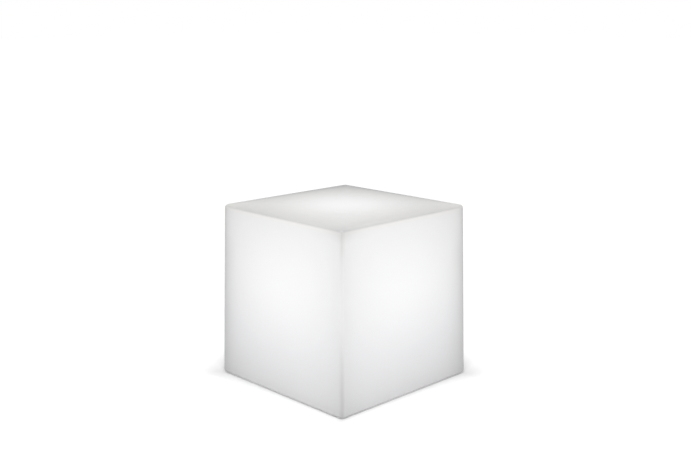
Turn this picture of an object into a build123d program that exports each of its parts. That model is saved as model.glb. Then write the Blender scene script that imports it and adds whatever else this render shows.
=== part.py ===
from build123d import *
from math import asin, cos, radians, sin, tan
import os

# LED cube light: a glowing cube, moulded in one piece of milky polyethylene, with a
# sealed rechargeable lamp module screwed up into a round dish in its underside.
# Millimetres, +Z up. The origin is on the floor, under the middle of the cube.

# ---------------------------------------------------------------- driving sizes
# cube shell
BASE_SIDE = 400.0  # width across the underside
TOTAL_HEIGHT = 400.0  # floor to top face
MOULD_DRAFT = 1.2  # degrees that every side leans in towards the top
SHELL_WALL = 4.0
UPRIGHT_RADIUS = 9.0  # rounding of the four upright edges
TOP_RADIUS = 8.0
BOTTOM_RADIUS = 7.0
INNER_RADIUS = 12.0  # the plastic gathers in the corners, so the inside is rounder
DISH_DEPTH = 16.0
DISH_LEAN = 8.0  # degrees
DISH_MARGIN = 10.0  # finger room round the module's flange
DISH_SEAT_RADIUS = 3.0
DISH_MOUTH_RADIUS = 4.0
INSERT_BOSS_WALL = 4.5
INSERT_BOSS_CAP = 4.0
INSERT_BOSS_LEAN = 4.0  # degrees

# rubber feet and vent plug
FOOT_RADIUS = 12.5
FOOT_THICKNESS = 3.0
FOOT_PROUD = 2.0  # how far the feet stand out of the shell
FOOT_INSET = 50.0  # foot's axis from the side of the cube
FOOT_EDGE = 0.8
GRIP_GROOVE_RADIUS = 7.5
GRIP_GROOVE_WIDTH = 1.5
GRIP_GROOVE_DEPTH = 0.6
VENT_RADIUS = 4.0
VENT_INSET = 60.0  # plug's axis from the side of the cube
VENT_HEAD_RADIUS = 8.0
VENT_HEAD_THICKNESS = 1.8
VENT_HEAD_ROUND = 0.6
VENT_HEAD_SUNK = 1.0
VENT_BARB = 0.5
VENT_BARB_LENGTH = 1.6
VENT_SLIT = 1.2

# lamp module: flange plate
HOUSING_RADIUS = 55.0
HOUSING_WALL = 2.5
RIM_WALL = 2.5
RIM_HEIGHT = 8.0
PLATE_THICKNESS = 4.0
PLATE_EDGE = 1.5
PANEL_GROOVE_WIDTH = 1.2
PANEL_GROOVE_DEPTH = 0.6
FLANGE_SCREWS = 6
FLANGE_EDGE = 6.0  # screw circle to the edge of the flange
GASKET_LAND = 2.5
GASKET_WIDTH = 5.0
GASKET_GROOVE = 1.6
SEAL_SECTION = 1.6  # square section of the housing's sealing ring
INSERT_RADIUS = 4.0
INSERT_LENGTH = 10.0
INSERT_WAIST_DEPTH = 0.8
INSERT_WAIST_LENGTH = 2.5

# power button and its switch
BUTTON_RADIUS = 11.0
BUTTON_THICKNESS = 4.0
BUTTON_PROUD = 1.5
BUTTON_EDGE = 1.0
BUTTON_DISHING = 0.6
BUTTON_DISH_RADIUS = 8.0
BUTTON_SKIN = 1.8  # wall of the cap, which is hollow round its stem
BUTTON_HUB = 1.5
BUTTON_BEVEL = 0.8  # round the mouth of the button's pocket
BUTTON_TRAVEL = 1.2
BUTTON_OVERTRAVEL = 0.8
STEM_RADIUS = 3.0
STEM_RISE = 0.8  # stem above its clip
GUIDE_LENGTH = 4.5
GUIDE_WALL = 3.0
POCKET_WALL = 2.2
O_RING_SECTION = 1.7
CLIP_THICKNESS = 0.6
CLIP_DEPTH = 0.5
CLIP_REACH = 2.0
SWITCH_SIDE = 12.0
SWITCH_LIP = 0.7
SWITCH_ROOF = 0.6
PLUNGER_RADIUS = 2.2
COLLAR_REACH = 0.9  # the plunger's collar keeps it in the switch
COLLAR_HEIGHT = 0.8

# charging socket and its hinged cover
SOCKET_ROOM = 5.4  # from the thicker part of the plate to the housing's wall
SOCKET_BORE = 2.8
SOCKET_DEPTH = 9.5
SOCKET_PIN = 1.0
SOCKET_PIN_SUNK = 2.0
SOCKET_WALL = 2.6
SOCKET_FLANGE_REACH = 1.6
SOCKET_FLANGE_THICKNESS = 1.2
SOCKET_MOUTH_FLARE = 1.4
SOCKET_MOUTH_DEPTH = 1.6
SOCKET_BACK = 1.2
SOCKET_SEAL_THICKNESS = 0.6
TAG_WIDTH = 1.6
TAG_THICKNESS = 1.2
TAG_HEIGHT = 2.0
NUT_WALL = 1.6  # from the barrel to the nut's flats
NUT_THICKNESS = 2.5
COVER_WIDTH = 18.0
COVER_THICKNESS = 2.2
COVER_REACH = 10.0  # socket's axis to the free end
COVER_CORNER = 3.0
HINGE_REACH = 13.0  # socket's axis to the hinge's axis
HINGE_HEIGHT = 0.8  # hinge's axis above the plate's underside
KNUCKLE_RADIUS = 1.8
LUG_LENGTH = 3.5
HINGE_PIN_RADIUS = 0.8
COVER_EDGE = 0.5
PLUG_GAP = 0.6  # plug to the socket's mouth: room to swing out
PLUG_HEIGHT = 1.2
COVER_SEAL_LAND = 0.2
COVER_SEAL_WIDTH = 1.4
COVER_SEAL_SUNK = 0.6
RECESS_WALL = 2.0
SCOOP_RADIUS = 6.0  # finger scoop at the cover's free end
SCOOP_DEPTH = 1.8
SCOOP_REACH = 1.0
LIGHT_PIPE_OFFSET = 22.0
LIGHT_PIPE_RADIUS = 1.5
LIGHT_PIPE_COLLAR = 1.0
INDICATOR_LENGTH = 2.4
INDICATOR_WIDTH = 1.6
INDICATOR_HEIGHT = 0.8
PLATE_RIB_WALL = 2.0
PLATE_RIB_HEIGHT = 4.0
PLATE_RIB_ROOM = 1.0  # rib's end to the housing's wall

# control board and battery
BOARD_ROOM = 1.0  # from the housing's screw columns
BOARD_THICKNESS = 1.6
PILLARS = 4
PILLAR_INSET = 7.0  # pillar's axis from the board's edge
PILLAR_HEIGHT = 12.4
PILLAR_ACROSS_FLATS = 5.5
STUD_LENGTH = 7.0
POST_WALL = 2.0  # plastic round a screw
POST_FOOT = 4.0
POST_FLARE = 1.5
CONNECTOR_WIDTH = 7.0
CONNECTOR_DEPTH = 5.0
CONNECTOR_HEIGHT = 5.5
CONNECTOR_BEVEL = 0.6
CONNECTOR_INSET = 3.5
COMPONENT_OFFSET = 14.0  # coil, capacitor and two chips, one in each quarter of the board
COIL_SIDE = 12.0
COIL_CORNER = 4.0
COIL_HEIGHT = 5.0
CAPACITOR_RADIUS = 4.0
CAPACITOR_HEIGHT = 8.0
CHARGER_SIDE = 9.0
DRIVER_SIDE = 6.0
CHIP_HEIGHT = 1.6
CELL_RADIUS = 9.2
CELL_LENGTH = 65.0
CELL_WEB = 1.4  # plastic between two wells
CELL_CRIMP = 4.0  # groove near the top of each cell
CELL_CRIMP_WIDTH = 1.2
CELL_CRIMP_DEPTH = 0.4
WELL_HEIGHT = 8.0
WELL_WALL = 1.5
TRAY_INSET = 2.0  # tray's edge inside the board's edge
TRAY_THICKNESS = 3.0
BRACKET_THICKNESS = 3.0
TIE_ROOM = 2.8  # from the wells to the upright ties
LINK_WIDTH = 7.0
LINK_THICKNESS = 0.4
LINK_CHANNEL = 1.0
LINK_TAB = 3.0
LEAD_RADIUS = 0.8
LEAD_SPREAD = 3.0  # between the two leads of a pair
LEAD_SLACK = 1.2
LEAD_BEND_SHARE = 0.45  # share of the shorter run that a bend takes
LEAD_SLOPE_SHARE = 0.6  # share of the way out where a lead starts to turn down

# housing top, light engine and dome
HOUSING_SCREWS = 4
COLUMN_INSET = 4.0  # column's axis from the housing's inner wall
HOUSING_COLUMN_HEIGHT = 30.0
HOUSING_COLUMN_WALL = 3.0
CEILING_ROOM = 1.2
HOUSING_TOP_WALL = 3.0
TOP_BOSS_LENGTH = 6.0
LED_BOARD_THICKNESS = 1.6
LED_SCREWS = 4
LED_SCREW_INSET = 5.0
EMITTER_SIDE = 5.0
EMITTER_HEIGHT = 1.5
EMITTER_LENS = 1.9
OUTER_RING_INSET = 14.0
OUTER_EMITTERS = 12
INNER_RING = 15.0
INNER_EMITTERS = 6
WIRE_HOLE = 3.5
WIRE_INSET = 7.0
TOP_CONNECTOR_HEIGHT = 4.0
DOME_ROOM = 1.5  # LED board to the dome's wall
DOME_WALL = 2.2
DOME_FLANGE = 2.5
DOME_FLANGE_REACH = 6.3
DOME_STRAIGHT = 9.0
DOME_RISE = 30.0
DOME_SEAL_SECTION = 1.0
DOME_SCREWS = 6

# screws, as shares of their thread, and clearances
FLANGE_THREAD = 2.0
FLANGE_SCREW_LENGTH = 13.0
SMALL_THREAD = 1.5
SMALL_SCREW_LENGTH = 8.0
TOP_SCREW_LENGTH = 7.0
HOUSING_SCREW_LENGTH = 12.0
HEAD_RADIUS_SHARE = 1.9
HEAD_HEIGHT_SHARE = 1.3
HEAD_BEVEL_SHARE = 0.4
TIP_BEVEL_SHARE = 0.25
DRIVE_RADIUS_SHARE = 0.75
DRIVE_DEPTH_SHARE = 0.7
PART_GAP = 0.3  # between pieces that don't touch
FIT_GAP = 0.05  # thread in its hole, pin in its bore, insert in the moulding
RUNNING_GAP = 0.1  # plunger in its guide
HOLE_GAP = 0.3  # screw in a clearance hole
FLANGE_GAP = 0.5  # flange to its seat: the gasket fills it
HOUSING_GAP = 0.5  # housing in the plate's rim
PORT_GAP = 1.0  # rim in the shell's port
SCREW_ROOM = 2.0  # hole past a screw's tip

# ---------------------------------------------------------------- places that follow
SHELL_BOTTOM = FOOT_PROUD
SEAT_Z = SHELL_BOTTOM + DISH_DEPTH
FOOT_RECESS = FOOT_THICKNESS - FOOT_PROUD
FOOT_PLACE = BASE_SIDE / 2 - FOOT_INSET
VENT_OFFSET = BASE_SIDE / 2 - VENT_INSET

RIM_RADIUS = HOUSING_RADIUS + HOUSING_GAP + RIM_WALL
PORT_RADIUS = RIM_RADIUS + PORT_GAP
GASKET_INNER = PORT_RADIUS + GASKET_LAND
GASKET_OUTER = GASKET_INNER + GASKET_WIDTH
FLANGE_SCREW_CIRCLE = GASKET_OUTER + INSERT_RADIUS
FLANGE_RADIUS = FLANGE_SCREW_CIRCLE + FLANGE_EDGE
DISH_RADIUS = FLANGE_RADIUS + DISH_MARGIN
PLATE_TOP = SEAT_Z - FLANGE_GAP
PLATE_BOTTOM = PLATE_TOP - PLATE_THICKNESS
SEAL_RADIUS = HOUSING_RADIUS - HOUSING_WALL / 2
HOUSING_INNER = HOUSING_RADIUS - HOUSING_WALL
COLUMN_RADIUS = SMALL_THREAD + HOUSING_COLUMN_WALL
HOUSING_SCREW_CIRCLE = HOUSING_INNER - COLUMN_INSET
BOARD_RADIUS = HOUSING_SCREW_CIRCLE - COLUMN_RADIUS - BOARD_ROOM
PILLAR_CIRCLE = BOARD_RADIUS - PILLAR_INSET
TRAY_RADIUS = BOARD_RADIUS - TRAY_INSET
HOUSING_SCREW_SEAT = PLATE_BOTTOM + SMALL_THREAD * HEAD_HEIGHT_SHARE + FIT_GAP

BUTTON_BOTTOM = PLATE_BOTTOM - BUTTON_PROUD
BUTTON_TOP = BUTTON_BOTTOM + BUTTON_THICKNESS
POCKET_RADIUS = BUTTON_RADIUS + PART_GAP
POCKET_CEILING = BUTTON_TOP + BUTTON_TRAVEL + BUTTON_OVERTRAVEL
GUIDE_TOP = POCKET_CEILING + GUIDE_LENGTH
CLIP_Z = GUIDE_TOP + PART_GAP
STEM_TOP = CLIP_Z + CLIP_THICKNESS + STEM_RISE
SWITCH_BOTTOM = STEM_TOP + BUTTON_TRAVEL + BUTTON_OVERTRAVEL
COLLAR_BOTTOM = SWITCH_BOTTOM + SWITCH_LIP + PART_GAP
SWITCH_CEILING = COLLAR_BOTTOM + COLLAR_HEIGHT + BUTTON_TRAVEL + 2 * RUNNING_GAP
BOARD_BOTTOM = SWITCH_CEILING + SWITCH_ROOF
BOARD_TOP = BOARD_BOTTOM + BOARD_THICKNESS

SOCKET_BARREL = SOCKET_BORE + SOCKET_WALL
SOCKET_FLANGE = SOCKET_BARREL + SOCKET_FLANGE_REACH
SOCKET_MOUTH = SOCKET_BORE + SOCKET_MOUTH_FLARE
COVER_SEAL_INNER = SOCKET_MOUTH + COVER_SEAL_LAND
RECESS_CEILING = PLATE_BOTTOM + COVER_THICKNESS + PART_GAP
SOCKET_SHOULDER = RECESS_CEILING + SOCKET_FLANGE_THICKNESS
SOCKET_SEAT = SOCKET_SHOULDER + SOCKET_SEAL_THICKNESS
RECESS_ROOF = SOCKET_SEAT + RECESS_WALL
SOCKET_TOP = RECESS_CEILING + SOCKET_DEPTH + SOCKET_BACK
HINGE_X = HOUSING_INNER - SOCKET_ROOM - RECESS_WALL - PART_GAP - KNUCKLE_RADIUS
SOCKET_OFFSET = HINGE_X - HINGE_REACH  # from the button's axis
HINGE_Z = PLATE_BOTTOM + HINGE_HEIGHT
COVER_END = SOCKET_OFFSET - COVER_REACH
LUG_END = COVER_WIDTH / 2 + PART_GAP
KNUCKLE_LENGTH = COVER_WIDTH - 2 * LUG_LENGTH

TRAY_BOTTOM = BOARD_TOP + PILLAR_HEIGHT
TRAY_TOP = TRAY_BOTTOM + TRAY_THICKNESS
CELL_BOTTOM = TRAY_TOP + LINK_THICKNESS
CELL_TOP = CELL_BOTTOM + CELL_LENGTH
BRACKET_BOTTOM = CELL_TOP + LINK_THICKNESS
BRACKET_TOP = BRACKET_BOTTOM + BRACKET_THICKNESS
WELL_RADIUS = CELL_RADIUS + PART_GAP
CELL_PITCH = 2 * WELL_RADIUS + CELL_WEB
WELL_SIDE = CELL_PITCH + 2 * (WELL_RADIUS + WELL_WALL)
TIE_OFFSET = WELL_SIDE / 2 + TIE_ROOM + SMALL_THREAD + POST_WALL

HOUSING_CEILING = BRACKET_TOP + SMALL_THREAD * HEAD_HEIGHT_SHARE + CEILING_ROOM
HOUSING_TOP = HOUSING_CEILING + HOUSING_TOP_WALL
LED_FACE = HOUSING_TOP + LED_BOARD_THICKNESS
DOME_SCREW_SEAT = HOUSING_TOP + DOME_FLANGE
DOME_OUTER = HOUSING_RADIUS - DOME_FLANGE_REACH
DOME_INNER = DOME_OUTER - DOME_WALL
LED_BOARD_RADIUS = DOME_INNER - DOME_ROOM
LED_SCREW_CIRCLE = LED_BOARD_RADIUS - LED_SCREW_INSET
OUTER_RING = LED_BOARD_RADIUS - OUTER_RING_INSET
WIRE_OFFSET = LED_BOARD_RADIUS - WIRE_INSET
DOME_SCREW_CIRCLE = (DOME_OUTER + HOUSING_RADIUS) / 2
DOME_SEAL_RADIUS = DOME_INNER + DOME_WALL / 2
TOP_CONNECTOR_PLACE = WIRE_OFFSET - WIRE_HOLE - CONNECTOR_DEPTH / 2

CONNECTOR_OFFSET = BOARD_RADIUS - CONNECTOR_INSET - CONNECTOR_DEPTH / 2
LEAD_OUT = (BOARD_RADIUS + HOUSING_INNER) / 2  # between board and housing
LEAD_IN = CONNECTOR_OFFSET + CONNECTOR_DEPTH / 2
LEAD_Z = BOARD_TOP + CONNECTOR_HEIGHT / 2
UP = (Align.CENTER, Align.CENTER, Align.MIN)


# ---------------------------------------------------------------- plain shapes
def rod(radius, low, high, x=0.0, y=0.0):
    """A round bar along Z, from one height to another."""
    return Pos(x, y, low) * Cylinder(radius, high - low, align=UP)


def ring(outer, inner, low, high):
    return rod(outer, low, high) - rod(inner, low, high)


def cone(low_radius, high_radius, low, high, x=0.0, y=0.0):
    return Pos(x, y, low) * Cone(low_radius, high_radius, high - low, align=UP)


def block(width, depth, low, high, x=0.0, y=0.0):
    return Pos(x, y, low) * Box(width, depth, high - low, align=UP)


def bar_along_y(radius, length, x, z):
    return Pos(x, 0, z) * Rot(90, 0, 0) * Cylinder(radius, length)


def raised(sketch, low, high):
    return extrude(Plane.XY.offset(low) * sketch, high - low)


def around(count, radius, start=0.0):
    return PolarLocations(radius, count, start)


def group(shape, places):
    """Copies of one shape, as separate solids."""
    return [place * shape for place in places]


def joined(shape, places):
    """Copies of one shape as one tool, for adding or cutting."""
    return Part() + group(shape, places)


def screw(thread, length):
    """A pan head screw with a hex drive. It points down, and its head sits on z = 0."""
    head_top = thread * HEAD_HEIGHT_SHARE
    head = rod(thread * HEAD_RADIUS_SHARE, 0, head_top)
    head = chamfer(head.edges().group_by(Axis.Z)[-1], thread * HEAD_BEVEL_SHARE)
    drive = RegularPolygon(thread * DRIVE_RADIUS_SHARE, 6)
    head -= raised(drive, head_top - thread * DRIVE_DEPTH_SHARE, head_top)
    shank = rod(thread, -length, 0)
    shank = chamfer(shank.edges().group_by(Axis.Z)[0], thread * TIP_BEVEL_SHARE)
    return head + shank


def screws_down(thread, length, places, height):
    return group(Pos(0, 0, height) * screw(thread, length), places)


def screws_up(thread, length, places, height):
    return group(Pos(0, 0, height) * Rot(180, 0, 0) * screw(thread, length), places)


def save(name, pieces):
    """Write one piece, or a group of like pieces, to a file of its own."""
    pieces = pieces if isinstance(pieces, list) else [pieces]
    solids = [solid for piece in pieces for solid in piece.solids()]
    export_step(solids[0] if len(solids) == 1 else Compound(solids), f"parts/{name}.step")


# ---------------------------------------------------------------- places of repeats
FOOT_PLACES = GridLocations(2 * FOOT_PLACE, 2 * FOOT_PLACE, 2, 2)
FLANGE_PLACES = around(FLANGE_SCREWS, FLANGE_SCREW_CIRCLE, 180 / FLANGE_SCREWS)
COLUMN_PLACES = around(HOUSING_SCREWS, HOUSING_SCREW_CIRCLE, 180 / HOUSING_SCREWS)
PILLAR_PLACES = around(PILLARS, PILLAR_CIRCLE, 180 / PILLARS)
TIE_PLACES = around(2, TIE_OFFSET)
CELL_PLACES = GridLocations(CELL_PITCH, CELL_PITCH, 2, 2)
LED_SCREW_PLACES = around(LED_SCREWS, LED_SCREW_CIRCLE, 180 / LED_SCREWS)
DOME_SCREW_PLACES = around(DOME_SCREWS, DOME_SCREW_CIRCLE)


# ---------------------------------------------------------------- cube shell
def leaning_box(half_width, low, high):
    """A square box whose four sides lean in by the mould's draft."""
    base = Plane.XY.offset(low) * Rectangle(2 * half_width, 2 * half_width)
    return extrude(base, high - low, taper=MOULD_DRAFT)


def make_outer_skin():
    skin = leaning_box(BASE_SIDE / 2, SHELL_BOTTOM, TOTAL_HEIGHT)
    uprights = skin.edges().filter_by(lambda edge: abs((edge @ 0 - edge @ 1).Z) > SHELL_WALL)
    skin = fillet(uprights, UPRIGHT_RADIUS)
    skin = fillet(skin.edges().group_by(Axis.Z)[-1], TOP_RADIUS)
    return fillet(skin.edges().group_by(Axis.Z)[0], BOTTOM_RADIUS)


def dish_shape(offset):
    """The round dish in the underside, grown by an even offset."""
    lean = radians(DISH_LEAN)
    low = SHELL_BOTTOM - PART_GAP
    high = SEAT_Z + offset
    top_radius = DISH_RADIUS + offset / cos(lean) - offset * tan(lean)
    low_radius = top_radius + (high - low) * tan(lean)
    dish = cone(low_radius, top_radius, low, high)
    return fillet(dish.edges().group_by(Axis.Z)[-1], DISH_SEAT_RADIUS + offset)


def insert_shape(gap):
    """A brass insert with a waist that locks it in the plastic, grown by a gap."""
    waist_low = SEAT_Z + (INSERT_LENGTH - INSERT_WAIST_LENGTH) / 2 + gap
    waist_high = waist_low + INSERT_WAIST_LENGTH - 2 * gap
    shape = rod(INSERT_RADIUS + gap, SEAT_Z, waist_low)
    shape += rod(INSERT_RADIUS - INSERT_WAIST_DEPTH + gap, waist_low, waist_high)
    shape += rod(INSERT_RADIUS + gap, waist_high, SEAT_Z + INSERT_LENGTH + gap)
    return shape


def insert_boss():
    low = SEAT_Z + SHELL_WALL / 2
    high = SEAT_Z + INSERT_LENGTH + SCREW_ROOM + INSERT_BOSS_CAP
    top_radius = INSERT_RADIUS + INSERT_BOSS_WALL
    low_radius = top_radius + (high - low) * tan(radians(INSERT_BOSS_LEAN))
    boss = cone(low_radius, top_radius, low, high)
    return fillet(boss.edges().group_by(Axis.Z)[-1], INSERT_BOSS_CAP / 2)


def make_hollow():
    """The air inside the shell: the skin drawn in by one wall, less what stands up in it."""
    floor = SHELL_BOTTOM + SHELL_WALL
    half_floor = BASE_SIDE / 2 - SHELL_WALL * tan(radians(MOULD_DRAFT))
    half_floor -= SHELL_WALL / cos(radians(MOULD_DRAFT))
    hollow = leaning_box(half_floor, floor, TOTAL_HEIGHT - SHELL_WALL)
    hollow = fillet(hollow.edges(), INNER_RADIUS)
    hollow -= dish_shape(SHELL_WALL)
    hollow -= joined(insert_boss(), FLANGE_PLACES)
    foot_pad = rod(FOOT_RADIUS + PART_GAP + SHELL_WALL, floor - FOOT_RECESS, floor + FOOT_RECESS)
    hollow -= joined(foot_pad, FOOT_PLACES)
    vent_pad = VENT_HEAD_RADIUS + PART_GAP + SHELL_WALL
    hollow -= rod(vent_pad, floor - VENT_HEAD_SUNK, floor + VENT_HEAD_SUNK, y=VENT_OFFSET)
    return hollow


def make_cube_shell():
    shell = make_outer_skin() - make_hollow() - dish_shape(0)
    mouth = shell.edges().filter_by(GeomType.CIRCLE).group_by(Axis.Z)[0]
    shell = fillet(mouth.sort_by(SortBy.RADIUS)[-1], DISH_MOUTH_RADIUS)
    shell -= rod(PORT_RADIUS, SHELL_BOTTOM, SEAT_Z + 2 * SHELL_WALL)
    shell -= joined(insert_shape(FIT_GAP), FLANGE_PLACES)
    tip_room = SEAT_Z + INSERT_LENGTH + SCREW_ROOM
    shell -= joined(rod(FLANGE_THREAD + HOLE_GAP, SEAT_Z, tip_room), FLANGE_PLACES)
    foot_recess = rod(FOOT_RADIUS + PART_GAP, 0, SHELL_BOTTOM + FOOT_RECESS)
    shell -= joined(foot_recess, FOOT_PLACES)
    shell -= rod(VENT_HEAD_RADIUS + PART_GAP, 0, SHELL_BOTTOM + VENT_HEAD_SUNK, y=VENT_OFFSET)
    shell -= rod(VENT_RADIUS + PART_GAP, 0, SEAT_Z, y=VENT_OFFSET)
    return shell


def make_shell_inserts():
    insert = insert_shape(0) - rod(FLANGE_THREAD + FIT_GAP, SEAT_Z, SEAT_Z + INSERT_LENGTH)
    return group(insert, FLANGE_PLACES)


def make_rubber_feet():
    foot = rod(FOOT_RADIUS, 0, FOOT_THICKNESS)
    foot = fillet(foot.edges().group_by(Axis.Z)[0], FOOT_EDGE)
    outer = GRIP_GROOVE_RADIUS + GRIP_GROOVE_WIDTH
    foot -= ring(outer, GRIP_GROOVE_RADIUS, 0, GRIP_GROOVE_DEPTH)
    return group(foot, FOOT_PLACES)


def make_vent_plug():
    """A push-in plug: a flat head, and two prongs with a barb inside the shell."""
    seat = SHELL_BOTTOM + VENT_HEAD_SUNK
    barb_low = seat + SHELL_WALL + PART_GAP
    barb_high = barb_low + VENT_BARB_LENGTH
    head = rod(VENT_HEAD_RADIUS, seat - VENT_HEAD_THICKNESS, seat)
    head = fillet(head.edges().group_by(Axis.Z)[0], VENT_HEAD_ROUND)
    stem = rod(VENT_RADIUS, seat, barb_high)
    barb = cone(VENT_RADIUS + PART_GAP + VENT_BARB, VENT_RADIUS, barb_low, barb_high)
    slit = block(VENT_SLIT, 2 * VENT_HEAD_RADIUS, seat, barb_high)
    return Pos(0, VENT_OFFSET, 0) * (head + (stem + barb - slit))


# ---------------------------------------------------------------- base plate
def button_guide():
    """The cup that the button sits in, with the tube that guides its stem."""
    cup = rod(POCKET_RADIUS + POCKET_WALL, PLATE_TOP, POCKET_CEILING + POCKET_WALL)
    return cup + rod(STEM_RADIUS + GUIDE_WALL, POCKET_CEILING, GUIDE_TOP)


def button_room():
    room = rod(POCKET_RADIUS, PLATE_BOTTOM, POCKET_CEILING)
    bevel_top = PLATE_BOTTOM + BUTTON_BEVEL
    room += cone(POCKET_RADIUS + 2 * BUTTON_BEVEL, POCKET_RADIUS, PLATE_BOTTOM, bevel_top)
    room += rod(STEM_RADIUS + RUNNING_GAP, PLATE_BOTTOM, GUIDE_TOP)
    middle = (POCKET_CEILING + GUIDE_TOP) / 2
    half_groove = O_RING_SECTION / 2 + FIT_GAP
    groove_radius = STEM_RADIUS + RUNNING_GAP + O_RING_SECTION + FIT_GAP
    return room + rod(groove_radius, middle - half_groove, middle + half_groove)


def cover_outline(gap):
    """The cover's outline, grown by a gap: square at its hinge, round at its free end."""
    length = HINGE_REACH + COVER_REACH - KNUCKLE_RADIUS - PART_GAP + gap
    middle = COVER_END - gap + length / 2
    outline = Pos(middle, 0) * Rectangle(length, COVER_WIDTH + 2 * gap)
    free_end = outline.vertices().group_by(Axis.X)[0]
    return fillet(free_end, COVER_CORNER + gap)


def socket_recess_block():
    """The thicker part of the plate that the cover's recess is sunk into."""
    low_x = COVER_END - PART_GAP - RECESS_WALL
    high_x = HINGE_X + KNUCKLE_RADIUS + PART_GAP + RECESS_WALL
    depth = 2 * (LUG_END + RECESS_WALL)
    middle = (low_x + high_x) / 2
    return block(high_x - low_x, depth, PLATE_TOP, RECESS_ROOF, x=middle)


def socket_recess_room():
    room = raised(cover_outline(PART_GAP), PLATE_BOTTOM, RECESS_CEILING)
    knuckle_room = KNUCKLE_RADIUS + PART_GAP
    room += block(2 * knuckle_room, 2 * LUG_END, PLATE_BOTTOM, RECESS_CEILING, x=HINGE_X)
    knuckle_length = KNUCKLE_LENGTH + 2 * PART_GAP
    room += bar_along_y(knuckle_room, knuckle_length, HINGE_X, HINGE_Z)
    centre = PLATE_BOTTOM + SCOOP_DEPTH - SCOOP_RADIUS
    room += Pos(COVER_END - SCOOP_REACH, 0, centre) * Sphere(SCOOP_RADIUS)
    room += rod(SOCKET_FLANGE + PART_GAP, RECESS_CEILING, SOCKET_SEAT, x=SOCKET_OFFSET)
    room += rod(SOCKET_BARREL + HOLE_GAP, RECESS_CEILING, RECESS_ROOF, x=SOCKET_OFFSET)
    return room


def hinge_lugs():
    """Two lugs that hold the pin, one each side of the cover's knuckle."""
    lug_length = LUG_END - KNUCKLE_LENGTH / 2 - PART_GAP
    middle = LUG_END - lug_length / 2
    web = block(2 * KNUCKLE_RADIUS, lug_length, HINGE_Z, RECESS_CEILING)
    end = bar_along_y(KNUCKLE_RADIUS, lug_length, 0, HINGE_Z)
    lug = web + end - bar_along_y(HINGE_PIN_RADIUS + FIT_GAP, lug_length, 0, HINGE_Z)
    return [Pos(HINGE_X, side * middle, 0) * lug for side in (-1, 1)]


def board_post():
    """A post that a pillar's stud screws into, flared at its foot."""
    radius = SMALL_THREAD + POST_WALL
    post = rod(radius, PLATE_TOP, BOARD_BOTTOM)
    post += cone(radius + POST_FLARE, radius, PLATE_TOP, PLATE_TOP + POST_FOOT)
    hole_end = BOARD_TOP - STUD_LENGTH - SCREW_ROOM
    return post - rod(SMALL_THREAD + FIT_GAP, hole_end, BOARD_BOTTOM)


def plate_ribs():
    """Ribs on the plate's inner side, from the button's cup to each post and to the wall."""
    rib_top = PLATE_TOP + PLATE_RIB_HEIGHT
    wall_end = HOUSING_INNER - PLATE_RIB_ROOM
    to_post = block(PILLAR_CIRCLE, PLATE_RIB_WALL, PLATE_TOP, rib_top, x=PILLAR_CIRCLE / 2)
    to_wall = block(wall_end, PLATE_RIB_WALL, PLATE_TOP, rib_top, x=wall_end / 2)
    ribs = joined(to_post, around(PILLARS, 0, 180 / PILLARS))
    ribs += joined(to_wall, around(2, 0, 90))
    return ribs - rod(POCKET_RADIUS, PLATE_TOP, rib_top)


def make_base_plate():
    plate = rod(FLANGE_RADIUS, PLATE_BOTTOM, PLATE_TOP)
    plate = fillet(plate.edges().group_by(Axis.Z)[0], PLATE_EDGE)
    rim_inner = HOUSING_RADIUS + HOUSING_GAP
    plate += ring(RIM_RADIUS, rim_inner, PLATE_TOP, PLATE_TOP + RIM_HEIGHT)
    plate += button_guide()
    plate += socket_recess_block()
    plate += plate_ribs()
    plate -= button_room()
    plate -= socket_recess_room()
    plate += hinge_lugs()
    plate += group(board_post(), PILLAR_PLACES)
    plate -= ring(GASKET_OUTER, GASKET_INNER, PLATE_TOP - GASKET_GROOVE, PLATE_TOP)
    seal_reach = SEAL_SECTION / 2 + FIT_GAP
    seal_low = PLATE_TOP - SEAL_SECTION
    plate -= ring(SEAL_RADIUS + seal_reach, SEAL_RADIUS - seal_reach, seal_low, PLATE_TOP)
    groove_top = PLATE_BOTTOM + PANEL_GROOVE_DEPTH
    groove_inner = RIM_RADIUS - PANEL_GROOVE_WIDTH
    plate -= ring(RIM_RADIUS, groove_inner, PLATE_BOTTOM, groove_top)
    flange_hole = rod(FLANGE_THREAD + HOLE_GAP, PLATE_BOTTOM, PLATE_TOP)
    plate -= joined(flange_hole, FLANGE_PLACES)
    head_room = rod(SMALL_THREAD * HEAD_RADIUS_SHARE + PART_GAP, PLATE_BOTTOM, HOUSING_SCREW_SEAT)
    shank_room = rod(SMALL_THREAD + HOLE_GAP, PLATE_BOTTOM, PLATE_TOP)
    plate -= joined(head_room + shank_room, COLUMN_PLACES)
    pipe_radius = LIGHT_PIPE_RADIUS + FIT_GAP
    plate -= rod(pipe_radius, PLATE_BOTTOM, PLATE_TOP, x=-LIGHT_PIPE_OFFSET)
    return plate


def make_base_gasket():
    inner = GASKET_INNER + FIT_GAP
    return ring(GASKET_OUTER - FIT_GAP, inner, PLATE_TOP - GASKET_GROOVE, SEAT_Z)


def make_light_pipe():
    """A clear rod that carries the charging light from the board to the underside."""
    top = BOARD_BOTTOM - INDICATOR_HEIGHT - PART_GAP
    pipe = rod(LIGHT_PIPE_RADIUS, PLATE_BOTTOM, top)
    collar = LIGHT_PIPE_RADIUS + LIGHT_PIPE_COLLAR
    pipe += rod(collar, PLATE_TOP, PLATE_TOP + LIGHT_PIPE_COLLAR)
    return Pos(-LIGHT_PIPE_OFFSET, 0, 0) * pipe


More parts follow.
